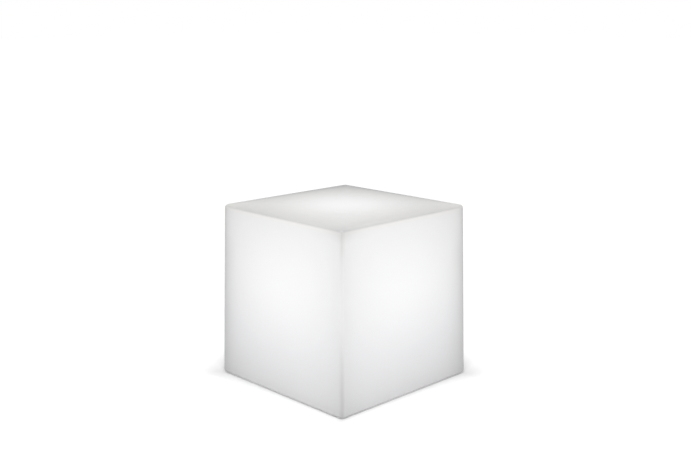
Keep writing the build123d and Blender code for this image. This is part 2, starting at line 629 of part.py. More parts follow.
# ---------------------------------------------------------------- button and switch
def make_power_button():
    cap = rod(BUTTON_RADIUS, BUTTON_BOTTOM, BUTTON_TOP)
    cap = fillet(cap.edges().group_by(Axis.Z)[0], BUTTON_EDGE)
    finger = (BUTTON_DISH_RADIUS**2 + BUTTON_DISHING**2) / (2 * BUTTON_DISHING)
    cap -= Pos(0, 0, BUTTON_BOTTOM + BUTTON_DISHING - finger) * Sphere(finger)
    hub = STEM_RADIUS + BUTTON_HUB
    cap -= ring(BUTTON_RADIUS - BUTTON_SKIN, hub, BUTTON_BOTTOM + BUTTON_SKIN, BUTTON_TOP)
    cap += rod(STEM_RADIUS, BUTTON_TOP - BUTTON_SKIN, STEM_TOP)
    groove_bottom = STEM_RADIUS - CLIP_DEPTH
    return cap - ring(hub, groove_bottom, CLIP_Z, CLIP_Z + CLIP_THICKNESS)


def make_button_clip():
    """An open spring clip in the stem's groove, which keeps the button in its guide."""
    inner = STEM_RADIUS - CLIP_DEPTH + FIT_GAP
    clip = ring(STEM_RADIUS + CLIP_REACH, inner, CLIP_Z, CLIP_Z + CLIP_THICKNESS)
    mouth = block(2 * STEM_RADIUS, 2 * inner - CLIP_DEPTH, CLIP_Z, CLIP_Z + CLIP_THICKNESS)
    return clip - Pos(STEM_RADIUS + CLIP_REACH / 2, 0, 0) * mouth


def make_button_seal():
    section = O_RING_SECTION / 2
    middle = (POCKET_CEILING + GUIDE_TOP) / 2
    return Pos(0, 0, middle) * Torus(STEM_RADIUS + RUNNING_GAP + section, section)


def make_push_switch():
    body = block(SWITCH_SIDE, SWITCH_SIDE, SWITCH_BOTTOM, BOARD_BOTTOM)
    body = chamfer(body.edges().group_by(Axis.Z)[0], SWITCH_LIP / 2)
    body -= rod(PLUNGER_RADIUS + RUNNING_GAP, SWITCH_BOTTOM, SWITCH_CEILING)
    room = PLUNGER_RADIUS + COLLAR_REACH + RUNNING_GAP
    return body - rod(room, SWITCH_BOTTOM + SWITCH_LIP, SWITCH_CEILING)


def make_switch_plunger():
    plunger = rod(PLUNGER_RADIUS, STEM_TOP, COLLAR_BOTTOM)
    collar = PLUNGER_RADIUS + COLLAR_REACH
    return plunger + rod(collar, COLLAR_BOTTOM, COLLAR_BOTTOM + COLLAR_HEIGHT)


# ---------------------------------------------------------------- charging socket and cover
def make_charge_socket():
    """A round panel socket: flange and barrel, with a bore, a centre pin and two tags."""
    bore_end = RECESS_CEILING + SOCKET_DEPTH
    socket = rod(SOCKET_FLANGE, RECESS_CEILING, SOCKET_SHOULDER)
    socket += rod(SOCKET_BARREL, SOCKET_SHOULDER, SOCKET_TOP)
    socket -= rod(SOCKET_BORE, RECESS_CEILING, bore_end)
    mouth_end = RECESS_CEILING + SOCKET_MOUTH_DEPTH
    socket -= cone(SOCKET_MOUTH, SOCKET_BORE, RECESS_CEILING, mouth_end)
    pin = rod(SOCKET_PIN, RECESS_CEILING + SOCKET_PIN_SUNK, bore_end)
    socket += fillet(pin.edges().group_by(Axis.Z)[0], SOCKET_PIN / 2)
    for side in (-1, 1):
        tag_y = side * LEAD_SPREAD / 2
        socket += block(TAG_THICKNESS, TAG_WIDTH, SOCKET_TOP, SOCKET_TOP + TAG_HEIGHT, y=tag_y)
    return Pos(SOCKET_OFFSET, 0, 0) * socket


def make_socket_seal():
    seal = ring(SOCKET_FLANGE, SOCKET_BARREL + FIT_GAP, SOCKET_SHOULDER, SOCKET_SEAT)
    return Pos(SOCKET_OFFSET, 0, 0) * seal


def make_socket_nut():
    outline = RegularPolygon(SOCKET_BARREL + NUT_WALL, 6, major_radius=False)
    nut = raised(outline, RECESS_ROOF, RECESS_ROOF + NUT_THICKNESS)
    nut -= rod(SOCKET_BARREL + FIT_GAP, RECESS_ROOF, RECESS_ROOF + NUT_THICKNESS)
    return Pos(SOCKET_OFFSET, 0, 0) * nut


def make_port_cover():
    """The flap over the socket: a plug on its inner face, and a knuckle on its hinge side."""
    inner_face = PLATE_BOTTOM + COVER_THICKNESS
    flap = raised(cover_outline(0), PLATE_BOTTOM, inner_face)
    flap = fillet(flap.faces().sort_by(Axis.Z)[0].outer_wire().edges(), COVER_EDGE)
    arm = 2 * KNUCKLE_RADIUS
    flap += block(arm, KNUCKLE_LENGTH, PLATE_BOTTOM, inner_face, x=HINGE_X - arm / 2)
    flap += bar_along_y(KNUCKLE_RADIUS, KNUCKLE_LENGTH, HINGE_X, HINGE_Z)
    flap -= bar_along_y(HINGE_PIN_RADIUS + FIT_GAP, KNUCKLE_LENGTH, HINGE_X, HINGE_Z)
    plug_base = SOCKET_MOUTH - PLUG_GAP
    plug = cone(plug_base, SOCKET_BORE - PLUG_GAP, inner_face, inner_face + PLUG_HEIGHT)
    outer = COVER_SEAL_INNER + COVER_SEAL_WIDTH + FIT_GAP
    inner = COVER_SEAL_INNER - FIT_GAP
    groove = ring(outer, inner, inner_face - COVER_SEAL_SUNK, inner_face)
    return flap + Pos(SOCKET_OFFSET, 0, 0) * plug - Pos(SOCKET_OFFSET, 0, 0) * groove


def make_cover_seal():
    low = PLATE_BOTTOM + COVER_THICKNESS - COVER_SEAL_SUNK
    high = RECESS_CEILING - PART_GAP / 2
    outer = COVER_SEAL_INNER + COVER_SEAL_WIDTH
    return Pos(SOCKET_OFFSET, 0, 0) * ring(outer, COVER_SEAL_INNER, low, high)


def make_cover_pin():
    return bar_along_y(HINGE_PIN_RADIUS, 2 * (LUG_END - FIT_GAP), HINGE_X, HINGE_Z)


# ---------------------------------------------------------------- control board
def make_control_board():
    board = rod(BOARD_RADIUS, BOARD_BOTTOM, BOARD_TOP)
    return board - joined(rod(SMALL_THREAD + HOLE_GAP, BOARD_BOTTOM, BOARD_TOP), PILLAR_PLACES)


def make_board_components():
    """Charger and driver chips, a coil, a smoothing capacitor and the charging light."""
    coil = block(COIL_SIDE, COIL_SIDE, BOARD_TOP, BOARD_TOP + COIL_HEIGHT)
    coil = fillet(coil.edges().filter_by(Axis.Z), COIL_CORNER)
    capacitor = rod(CAPACITOR_RADIUS, BOARD_TOP, BOARD_TOP + CAPACITOR_HEIGHT)
    charger = block(CHARGER_SIDE, CHARGER_SIDE, BOARD_TOP, BOARD_TOP + CHIP_HEIGHT)
    driver = block(DRIVER_SIDE, DRIVER_SIDE, BOARD_TOP, BOARD_TOP + CHIP_HEIGHT)
    quarters = GridLocations(2 * COMPONENT_OFFSET, 2 * COMPONENT_OFFSET, 2, 2)
    pieces = [place * piece for place, piece in zip(quarters, (coil, charger, capacitor, driver))]
    light_low = BOARD_BOTTOM - INDICATOR_HEIGHT
    light = block(INDICATOR_LENGTH, INDICATOR_WIDTH, light_low, BOARD_BOTTOM)
    return pieces + [Pos(-LIGHT_PIPE_OFFSET, 0, 0) * light]


def connector(height):
    """A wire connector with its open side outwards, along +X."""
    body = block(CONNECTOR_DEPTH, CONNECTOR_WIDTH, 0, height)
    return chamfer(body.edges().group_by(Axis.Z)[-1], CONNECTOR_BEVEL)


def make_board_connectors():
    places = [Rot(0, 0, turn) * Pos(CONNECTOR_OFFSET, 0, BOARD_TOP) for turn in (0, 90, -90)]
    connectors = group(connector(CONNECTOR_HEIGHT), places)
    top_place = Rot(0, 0, -90) * Pos(TOP_CONNECTOR_PLACE, 0, LED_FACE)
    return connectors + [top_place * connector(TOP_CONNECTOR_HEIGHT)]


def make_board_pillars():
    """Hex pillars that clamp the board and carry the battery tray."""
    outline = RegularPolygon(PILLAR_ACROSS_FLATS / 2, 6, major_radius=False)
    pillar = raised(outline, BOARD_TOP, TRAY_BOTTOM)
    pillar += rod(SMALL_THREAD, BOARD_TOP - STUD_LENGTH, BOARD_TOP)
    hole_end = TRAY_TOP - SMALL_SCREW_LENGTH - SCREW_ROOM
    return group(pillar - rod(SMALL_THREAD + FIT_GAP, hole_end, TRAY_BOTTOM), PILLAR_PLACES)


# ---------------------------------------------------------------- battery
def link_outline(gap):
    """A nickel plate that joins the four cells, with a tab for its lead."""
    length = CELL_PITCH + LINK_WIDTH + 2 * gap
    width = LINK_WIDTH + 2 * gap
    bars = GridLocations(0, CELL_PITCH, 1, 2) * Rectangle(length, width)
    spine_end = WELL_SIDE / 2 + LINK_TAB + gap
    spine_start = -CELL_PITCH / 2
    spine_length = spine_end - spine_start
    spine = Pos(0, spine_start + spine_length / 2) * Rectangle(width, spine_length)
    return Sketch() + bars + spine


def cell_wells(low, high):
    """A block with a round well for each cell."""
    wells = block(WELL_SIDE, WELL_SIDE, low, high)
    wells = fillet(wells.edges().filter_by(Axis.Z), WELL_RADIUS)
    return wells - joined(rod(WELL_RADIUS, low, high), CELL_PLACES)


def make_battery_tray():
    tray = rod(TRAY_RADIUS, TRAY_BOTTOM, TRAY_TOP)
    tray += cell_wells(TRAY_TOP, TRAY_TOP + WELL_HEIGHT)
    tray -= raised(link_outline(PART_GAP), TRAY_TOP, TRAY_TOP + LINK_CHANNEL)
    tie = rod(SMALL_THREAD + POST_WALL, TRAY_BOTTOM, BRACKET_BOTTOM)
    hole_end = BRACKET_TOP - SMALL_SCREW_LENGTH - SCREW_ROOM
    tray += group(tie - rod(SMALL_THREAD + FIT_GAP, hole_end, BRACKET_BOTTOM), TIE_PLACES)
    screw_hole = rod(SMALL_THREAD + HOLE_GAP, TRAY_BOTTOM, TRAY_TOP)
    return tray - joined(screw_hole, PILLAR_PLACES)


def make_battery_cells():
    cell = rod(CELL_RADIUS, CELL_BOTTOM, CELL_TOP)
    crimp_high = CELL_TOP - CELL_CRIMP
    crimp_inner = CELL_RADIUS - CELL_CRIMP_DEPTH
    cell -= ring(CELL_RADIUS, crimp_inner, crimp_high - CELL_CRIMP_WIDTH, crimp_high)
    return group(cell, CELL_PLACES)


def make_cell_links():
    low_link = raised(link_outline(0), TRAY_TOP, CELL_BOTTOM)
    return [low_link, raised(link_outline(0), CELL_TOP, BRACKET_BOTTOM)]


def make_battery_bracket():
    plate = Rectangle(2 * TIE_OFFSET, 2 * (SMALL_THREAD + POST_WALL))
    plate += TIE_PLACES * Circle(SMALL_THREAD + POST_WALL)
    bracket = raised(plate, BRACKET_BOTTOM, BRACKET_TOP)
    top = block(WELL_SIDE, WELL_SIDE, BRACKET_BOTTOM, BRACKET_TOP)
    bracket += fillet(top.edges().filter_by(Axis.Z), WELL_RADIUS)
    bracket += cell_wells(BRACKET_BOTTOM - WELL_HEIGHT, BRACKET_BOTTOM)
    channel_low = BRACKET_BOTTOM - LINK_CHANNEL
    bracket -= raised(link_outline(PART_GAP), channel_low, BRACKET_BOTTOM)
    return bracket - joined(rod(SMALL_THREAD + HOLE_GAP, BRACKET_BOTTOM, BRACKET_TOP), TIE_PLACES)


# ---------------------------------------------------------------- leads
def lead(points):
    """A round lead along straight runs, joined by the largest arcs that they allow."""
    corners = [Vector(*point) for point in points]
    runs = [b - a for a, b in zip(corners, corners[1:])]
    radii = []
    for before, after in zip(runs, runs[1:]):
        half_turn = radians(before.get_angle(after)) / 2
        radii.append(LEAD_BEND_SHARE * min(before.length, after.length) / tan(half_turn))
    path = FilletPolyline(*corners, radius=radii)
    section = Plane(origin=path @ 0, z_dir=path % 0) * Circle(LEAD_RADIUS)
    return sweep(section, path=path)


def lead_pair(route):
    """Two leads side by side. A route's points are (distance out, height) pairs along X."""
    sides = [side * LEAD_SPREAD / 2 for side in (-1, 1)]
    return [lead([(out, side, height) for out, height in route]) for side in sides]


def make_socket_leads():
    start = SOCKET_OFFSET + TAG_THICKNESS / 2
    low = SOCKET_TOP + TAG_HEIGHT / 2
    return lead_pair([(start, low), (LEAD_OUT, low), (LEAD_OUT, LEAD_Z), (LEAD_IN, LEAD_Z)])


def make_battery_leads():
    start = WELL_SIDE / 2 + PART_GAP
    tab_gap = LEAD_RADIUS + FIT_GAP
    top = CELL_TOP - tab_gap
    low = CELL_BOTTOM + tab_gap
    slack = LEAD_OUT - LEAD_SLACK
    top_bend = start + (LEAD_OUT - start) * LEAD_SLOPE_SHARE
    top_down = top - (LEAD_OUT - top_bend)
    middle = (top_down + LEAD_Z) / 2
    top_route = [(start, top), (top_bend, top), (LEAD_OUT, top_down), (slack, middle)]
    top_route += [(LEAD_OUT, LEAD_Z), (LEAD_IN, LEAD_Z)]
    low_route = [(start, low), (LEAD_OUT, low), (LEAD_OUT, LEAD_Z), (LEAD_IN, LEAD_Z)]
    positive = lead([(out, -LEAD_SPREAD / 2, height) for out, height in top_route])
    negative = lead([(out, LEAD_SPREAD / 2, height) for out, height in low_route])
    return [Rot(0, 0, 90) * positive, Rot(0, 0, 90) * negative]


def make_led_leads():
    below = HOUSING_CEILING - TOP_BOSS_LENGTH
    above = LED_FACE + TOP_CONNECTOR_HEIGHT / 2
    shoulder = below - (LEAD_OUT - WIRE_OFFSET)
    middle = (shoulder + LEAD_Z) / 2
    route = [(LEAD_IN, LEAD_Z), (LEAD_OUT, LEAD_Z), (LEAD_OUT - LEAD_SLACK, middle)]
    route += [(LEAD_OUT, shoulder), (WIRE_OFFSET, below), (WIRE_OFFSET, above)]
    route += [(TOP_CONNECTOR_PLACE + CONNECTOR_DEPTH / 2, above)]
    return [Rot(0, 0, -90) * wire for wire in lead_pair(route)]


# ---------------------------------------------------------------- housing and light engine
def hanging_bosses(places):
    """Screw bosses under the housing's top, kept inside its wall."""
    low = HOUSING_CEILING - TOP_BOSS_LENGTH
    boss = rod(SMALL_THREAD + POST_WALL, low, HOUSING_CEILING)
    return joined(boss, places) & rod(HOUSING_RADIUS, low, HOUSING_CEILING)


def make_module_housing():
    """An upright cup, open below, with screw columns inside."""
    housing = rod(HOUSING_RADIUS, PLATE_TOP, HOUSING_TOP)
    housing -= rod(HOUSING_INNER, PLATE_TOP, HOUSING_CEILING)
    column_top = PLATE_TOP + HOUSING_COLUMN_HEIGHT
    columns = joined(rod(COLUMN_RADIUS, PLATE_TOP, column_top), COLUMN_PLACES)
    housing += columns & rod(HOUSING_RADIUS, PLATE_TOP, column_top)
    screw_end = HOUSING_SCREW_SEAT + HOUSING_SCREW_LENGTH + SCREW_ROOM
    housing -= joined(rod(SMALL_THREAD + FIT_GAP, PLATE_TOP, screw_end), COLUMN_PLACES)
    housing += hanging_bosses(LED_SCREW_PLACES)
    housing += hanging_bosses(DOME_SCREW_PLACES)
    boss_low = HOUSING_CEILING - TOP_BOSS_LENGTH + HOUSING_WALL / 2
    boss_hole = rod(SMALL_THREAD + FIT_GAP, boss_low, HOUSING_TOP)
    housing -= joined(boss_hole, LED_SCREW_PLACES)
    housing -= joined(boss_hole, DOME_SCREW_PLACES)
    housing -= rod(WIRE_HOLE, HOUSING_CEILING, HOUSING_TOP, y=-WIRE_OFFSET)
    reach = DOME_SEAL_SECTION / 2 + FIT_GAP
    groove_low = HOUSING_TOP - DOME_SEAL_SECTION
    outer = DOME_SEAL_RADIUS + reach
    return housing - ring(outer, DOME_SEAL_RADIUS - reach, groove_low, HOUSING_TOP)


def make_housing_seal():
    reach = SEAL_SECTION / 2
    low = PLATE_TOP - SEAL_SECTION
    return ring(SEAL_RADIUS + reach, SEAL_RADIUS - reach, low, PLATE_TOP)


def make_led_board():
    board = rod(LED_BOARD_RADIUS, HOUSING_TOP, LED_FACE)
    board -= joined(rod(SMALL_THREAD + HOLE_GAP, HOUSING_TOP, LED_FACE), LED_SCREW_PLACES)
    return board - rod(WIRE_HOLE, HOUSING_TOP, LED_FACE, y=-WIRE_OFFSET)


def make_led_emitters():
    """Square LED packages in two rings, each with a low round lens."""
    top = LED_FACE + EMITTER_HEIGHT
    package = block(EMITTER_SIDE, EMITTER_SIDE, LED_FACE, top)
    package += cone(EMITTER_LENS, EMITTER_LENS / 2, top, top + EMITTER_LENS / 2)
    outer_ring = around(OUTER_EMITTERS, OUTER_RING, 180 / OUTER_EMITTERS)
    return group(package, outer_ring) + group(package, around(INNER_EMITTERS, INNER_RING))


def cap_arc(radius, low, high):
    """An arc from the dome's wall up to its crown, part of one sphere."""
    rise = high - low
    sphere = (radius**2 + rise**2) / (2 * rise)
    half_angle = asin(radius / sphere) / 2
    middle = (sphere * sin(half_angle), high - sphere * (1 - cos(half_angle)))
    return ThreePointArc((radius, low), middle, (0, high))


def make_diffuser_dome():
    shoulder = HOUSING_TOP + DOME_STRAIGHT
    crown = HOUSING_TOP + DOME_RISE
    outside = Polyline(
        (DOME_INNER, HOUSING_TOP),
        (HOUSING_RADIUS, HOUSING_TOP),
        (HOUSING_RADIUS, DOME_SCREW_SEAT),
        (DOME_OUTER, DOME_SCREW_SEAT),
        (DOME_OUTER, shoulder),
    )
    outer_cap = cap_arc(DOME_OUTER, shoulder, crown)
    crown_wall = Line((0, crown), (0, crown - DOME_WALL))
    inner_cap = cap_arc(DOME_INNER, shoulder, crown - DOME_WALL)
    inside = Line((DOME_INNER, shoulder), (DOME_INNER, HOUSING_TOP))
    profile = make_face([outside, outer_cap, crown_wall, inner_cap, inside])
    dome = revolve(Plane.XZ * profile, Axis.Z)
    screw_hole = rod(SMALL_THREAD + HOLE_GAP, HOUSING_TOP, DOME_SCREW_SEAT)
    return dome - joined(screw_hole, DOME_SCREW_PLACES)


def make_dome_seal():
    reach = DOME_SEAL_SECTION / 2
    low = HOUSING_TOP - DOME_SEAL_SECTION
    return ring(DOME_SEAL_RADIUS + reach, DOME_SEAL_RADIUS - reach, low, HOUSING_TOP)


# ---------------------------------------------------------------- write every piece
os.makedirs("parts", exist_ok=True)
save("cube_shell", make_cube_shell())
save("shell_inserts", make_shell_inserts())
save("rubber_feet", make_rubber_feet())
save("vent_plug", make_vent_plug())

save("base_plate", make_base_plate())
save("base_gasket", make_base_gasket())
save("flange_screws", screws_up(FLANGE_THREAD, FLANGE_SCREW_LENGTH, FLANGE_PLACES, PLATE_BOTTOM))
save("charge_light_pipe", make_light_pipe())

save("power_button", make_power_button())
save("button_clip", make_button_clip())
save("button_seal", make_button_seal())
save("push_switch", make_push_switch())
save("switch_plunger", make_switch_plunger())

save("charge_socket", make_charge_socket())
save("socket_seal", make_socket_seal())
save("socket_nut", make_socket_nut())
save("port_cover", make_port_cover())
save("cover_seal", make_cover_seal())
save("cover_pin", make_cover_pin())

save("control_board", make_control_board())
save("board_components", make_board_components())
save("board_connectors", make_board_connectors())
save("board_pillars", make_board_pillars())

save("battery_tray", make_battery_tray())
save("tray_screws", screws_down(SMALL_THREAD, SMALL_SCREW_LENGTH, PILLAR_PLACES, TRAY_TOP))
save("battery_cells", make_battery_cells())
save("cell_links", make_cell_links())
save("battery_bracket", make_battery_bracket())
save("bracket_screws", screws_down(SMALL_THREAD, SMALL_SCREW_LENGTH, TIE_PLACES, BRACKET_TOP))
save("socket_leads", make_socket_leads())
save("battery_leads", make_battery_leads())
save("led_leads", make_led_leads())

save("module_housing", make_module_housing())
save("housing_seal", make_housing_seal())
housing_screws = screws_up(SMALL_THREAD, HOUSING_SCREW_LENGTH, COLUMN_PLACES, HOUSING_SCREW_SEAT)
save("housing_screws", housing_screws)
save("led_board", make_led_board())
save("led_emitters", make_led_emitters())
save("led_board_screws", screws_down(SMALL_THREAD, TOP_SCREW_LENGTH, LED_SCREW_PLACES, LED_FACE))
save("diffuser_dome", make_diffuser_dome())
save("dome_seal", make_dome_seal())
save("dome_screws", screws_down(SMALL_THREAD, TOP_SCREW_LENGTH, DOME_SCREW_PLACES, DOME_SCREW_SEAT))
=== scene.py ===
"""A glowing garden cube: its finishes, its small marks and parts, a plain studio and the camera."""

from math import cos, pi, radians, sin
from types import SimpleNamespace

import bpy
from mathutils import Matrix, Vector


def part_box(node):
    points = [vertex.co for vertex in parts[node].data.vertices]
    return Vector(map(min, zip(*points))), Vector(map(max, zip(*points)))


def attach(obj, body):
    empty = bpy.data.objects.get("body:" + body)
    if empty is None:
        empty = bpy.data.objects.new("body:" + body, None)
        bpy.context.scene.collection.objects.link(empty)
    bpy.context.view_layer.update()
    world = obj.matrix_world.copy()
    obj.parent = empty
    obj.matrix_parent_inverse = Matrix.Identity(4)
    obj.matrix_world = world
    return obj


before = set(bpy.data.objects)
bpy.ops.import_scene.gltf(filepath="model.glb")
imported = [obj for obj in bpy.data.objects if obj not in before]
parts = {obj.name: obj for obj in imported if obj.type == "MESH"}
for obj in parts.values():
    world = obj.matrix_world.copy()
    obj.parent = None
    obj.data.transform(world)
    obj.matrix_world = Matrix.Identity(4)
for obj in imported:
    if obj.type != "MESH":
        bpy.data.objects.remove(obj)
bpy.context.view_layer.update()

# ---------------------------------------------------------------- sizes, in metres
CUBE_HALF = 0.2  # at the foot
TOP_HALF = 0.1916  # the walls lean in by the mould's draft
BOARD_UNDER, BOARD_TOP = (corner[2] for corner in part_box("control_board"))
LED_BOARD_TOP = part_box("led_board")[1][2]
CAN_TOP = BOARD_TOP + 0.0078  # bare metal end of the capacitor's can
SCREW_HEAD = 0.0026  # deepest head
THREAD_PITCH = 0.0006
KNURL_PITCH = 0.0011


# ---------------------------------------------------------------- the bench that finishes are mixed on
class Finish:
    """One material, built up in layers on a single shader."""

    def __init__(self, name, colour, roughness, metallic=0.0):
        self.material = bpy.data.materials.new(name)
        self.material.use_nodes = True
        self.tree = self.material.node_tree
        self.shader = self.tree.nodes["Principled BSDF"]
        self.colour = colour
        self.set("Base Color", (*colour, 1.0))
        self.set("Roughness", roughness)
        self.set("Metallic", metallic)
        self.height = None

    def set(self, socket, value):
        self.shader.inputs[socket].default_value = value

    def add(self, kind, **settings):
        made = self.tree.nodes.new(kind)
        for name, value in settings.items():
            setattr(made, name, value)
        return made

    def feed(self, socket, value):
        """Link a value from another node, or write a plain number or vector."""
        if isinstance(value, bpy.types.NodeSocket):
            self.tree.links.new(value, socket)
        else:
            socket.default_value = value

    def place(self, stretch=None):
        """Where a point is on the object, in metres."""
        spot = self.add("ShaderNodeTexCoord").outputs["Object"]
        if stretch is None:
            return spot
        mapping = self.add("ShaderNodeMapping")
        self.feed(mapping.inputs["Vector"], spot)
        mapping.inputs["Scale"].default_value = stretch
        return mapping.outputs["Vector"]

    def axes(self, vector):
        """The three numbers of a vector."""
        split = self.add("ShaderNodeSeparateXYZ")
        self.feed(split.inputs[0], vector)
        return split.outputs["X"], split.outputs["Y"], split.outputs["Z"]

    def sum(self, operation, first, second=0.0, third=0.0):
        made = self.add("ShaderNodeMath", operation=operation)
        for socket, value in zip(made.inputs, (first, second, third)):
            self.feed(socket, value)
        return made.outputs[0]

    def vector_sum(self, operation, first, second=(0.0, 0.0, 0.0)):
        made = self.add("ShaderNodeVectorMath", operation=operation)
        self.feed(made.inputs[0], first)
        self.feed(made.inputs[1], second)
        return made.outputs["Value" if operation in ("DOT_PRODUCT", "LENGTH") else "Vector"]

    def scaled(self, colour, amount):
        made = self.add("ShaderNodeVectorMath", operation="SCALE")
        self.feed(made.inputs[0], colour)
        self.feed(made.inputs["Scale"], amount)
        return made.outputs["Vector"]

    def ramp(self, value, low, high, smooth=True, to_low=0.0, to_high=1.0):
        """Rises between two readings of a value, and is flat outside them."""
        made = self.add("ShaderNodeMapRange")
        made.interpolation_type = "SMOOTHSTEP" if smooth else "LINEAR"
        self.feed(made.inputs["Value"], value)
        made.inputs["From Min"].default_value = low
        made.inputs["From Max"].default_value = high
        made.inputs["To Min"].default_value = to_low
        made.inputs["To Max"].default_value = to_high
        return made.outputs["Result"]

    def clouds(self, size, detail=3.0, stretch=None):
        """Soft patches of about one size."""
        noise = self.add("ShaderNodeTexNoise")
        self.feed(noise.inputs["Vector"], self.place(stretch))
        noise.inputs["Scale"].default_value = 1.0 / size
        noise.inputs["Detail"].default_value = detail
        return noise.outputs["Fac"]

    def pits(self, size, stretch=None):
        """Small rounded cells, for orange peel and spark-eroded grain."""
        cells = self.add("ShaderNodeTexVoronoi", feature="SMOOTH_F1")
        self.feed(cells.inputs["Vector"], self.place(stretch))
        cells.inputs["Scale"].default_value = 1.0 / size
        return cells.outputs["Distance"]

    def blend(self, amount, low, high):
        """A colour between two others."""
        mix = self.add("ShaderNodeMix", data_type="RGBA")
        self.feed(mix.inputs[0], amount)
        self.feed(mix.inputs[6], low if isinstance(low, bpy.types.NodeSocket) else (*low, 1.0))
        self.feed(mix.inputs[7], high if isinstance(high, bpy.types.NodeSocket) else (*high, 1.0))
        return mix.outputs[2]

    def paint(self, colour):
        self.feed(self.shader.inputs["Base Color"], colour)

    def stain(self, size, amount, stretch=None):
        """Lets the base colour drift a little, paler and darker."""
        pale = tuple(min(1.0, part * (1 + amount)) for part in self.colour)
        dark = tuple(part * (1 - amount) for part in self.colour)
        spread = self.ramp(self.clouds(size, 4.0, stretch), 0.3, 0.7)
        self.paint(self.blend(spread, dark, pale))

    def rub(self, size, low, high, stretch=None):
        """Lets the gloss drift between two roughnesses."""
        patches = self.clouds(size, 3.0, stretch)
        rough = self.ramp(patches, 0.3, 0.7, to_low=low, to_high=high)
        self.feed(self.shader.inputs["Roughness"], rough)

    def press(self, height, depth):
        """Adds relief of a depth in metres, on top of any that is there."""
        bump = self.add("ShaderNodeBump")
        bump.inputs["Strength"].default_value = 1.0
        bump.inputs["Distance"].default_value = depth
        self.feed(bump.inputs["Height"], height)
        if self.height is not None:
            self.feed(bump.inputs["Normal"], self.height)
        self.height = bump.outputs["Normal"]
        self.feed(self.shader.inputs["Normal"], self.height)


# ---------------------------------------------------------------- how brightly the cube glows, with painted shade and painted light mixed in; 1 is white
WALL_BRIGHTEST = 0.22  # height, in metres
WALL_DIRECT = 0.0049  # straight from the lamp
WALL_FLOOR = 0.124  # scattered light: at the foot, and its rise and curve up the wall
WALL_RISE = 0.636
WALL_CURVE = -0.474
WALL_SIDES = 0.095  # lost towards the upright edges
WALL_FOOT_SHADE = 0.05  # painted shade close to the floor
FOOT_FADE = 0.012  # metres
WALL_OUTER_SHADE = 0.9  # share lost at the left and right upright edges, as painted shade
OUTER_POWER = 10.0  # how close to the edge that loss keeps
HIGH_OUTER = 0.3  # what both gain near the top
HIGH_POWER = 9.0
HIGH_PART = (0.29, 0.37)  # heights, in metres
LID_PATCH = 0.13  # radius of the bright patch, in metres
LID_BRIGHT = 0.217
LID_FLOOR = 0.162
LID_SIDES = 0.082  # lost towards the edges
LID_OUTER_LIGHT = 0.12  # painted light gained at the left and right corners
LID_BACK_SHADE = 0.17  # painted shade towards the back corner
LID_BACK_EDGE_SHADE = 0.22  # painted shade along the two back edges
LID_BACK_LEAST = 0.2  # share of that loss at their outer ends
NEAR_CORNER_SHADE = 0.13  # painted shade round the front top corner
NEAR_CORNER_PART = (0.365, 0.395)  # heights, in metres
BROW_HIGHLIGHT = 0.08  # painted highlight on the rounding of the top edges
EDGE_BRIGHTEST = 0.55  # share of the height at which the upright edges are brightest
EDGE_ENDS = 0.8  # share that they lose half a height away from there, partly painted shade
UNDERSIDE = 0.65  # share of the glow that is left underneath
RIPPLE = 0.006  # uneven wall
LOW_TONE = (0.965, 0.97, 1.0)
HIGH_TONE = (0.985, 0.985, 0.99)
WARM_TONE = (1.0, 0.965, 0.88)
SKIN_COLOUR = (0.64, 0.64, 0.64)
# painted shade: a darker base colour for the roundings of the edges
EDGE_SHADE_COLOUR = (0.565, 0.563, 0.56)


# ---------------------------------------------------------------- finishes
def milky_shell():
    """Milky moulded polyethylene, lit from inside by the lamp under its middle. Its glow also carries painted
    shade and a painted highlight, and its edges have a painted darker colour.
    """
    skin = Finish("milky_polyethylene", SKIN_COLOUR, 0.42)
    skin.set("IOR", 1.5)
    skin.set("Specular IOR Level", 0.35)
    at = places_on_cube(skin)

    on_lid = skin.ramp(at.up, 0.02, 0.4, smooth=False)
    wall, lid = wall_glow_and_shade(skin, at), lid_glow_and_shade(skin, at)
    glow = skin.sum("MULTIPLY_ADD", on_lid, skin.sum("SUBTRACT", lid, wall), wall)
    # painted highlight on the rounding of the top edges
    top_brow = skin.sum("MULTIPLY", at.brow, skin.sum("MULTIPLY", at.up, at.up))
    glow = skin.sum("MULTIPLY_ADD", top_brow, BROW_HIGHLIGHT, glow)
    # painted shade round the front top corner
    near_corner = skin.sum("POWER", at.forward, 12.0)
    near_corner = skin.sum("MULTIPLY", near_corner, skin.ramp(at.z, *NEAR_CORNER_PART))
    glow = skin.sum("MULTIPLY_ADD", near_corner, -NEAR_CORNER_SHADE, glow)
    light = skin.sum("MAXIMUM", skin.sum("MULTIPLY", glow, share_let_through_and_shade(skin, at)), 0.0)
    skin.feed(skin.shader.inputs["Emission Color"], skin.scaled(tone_of_glow(skin, at, on_lid), light))
    skin.set("Emission Strength", 1.0)

    speckle = skin.ramp(skin.clouds(0.03, 4.0), 0.3, 0.7, to_low=-0.03, to_high=0.03)
    # painted shade: the base colour darkens on the roundings of the edges
    edge = skin.sum("MULTIPLY_ADD", at.brow, 0.5, at.upright)
    skin.paint(skin.blend(skin.sum("ADD", edge, speckle), skin.colour, EDGE_SHADE_COLOUR))
    skin.rub(0.02, 0.38, 0.46)
    skin.press(skin.clouds(0.03, 2.0), 0.00015)
    skin.press(skin.pits(0.0016), 0.000012)
    return skin


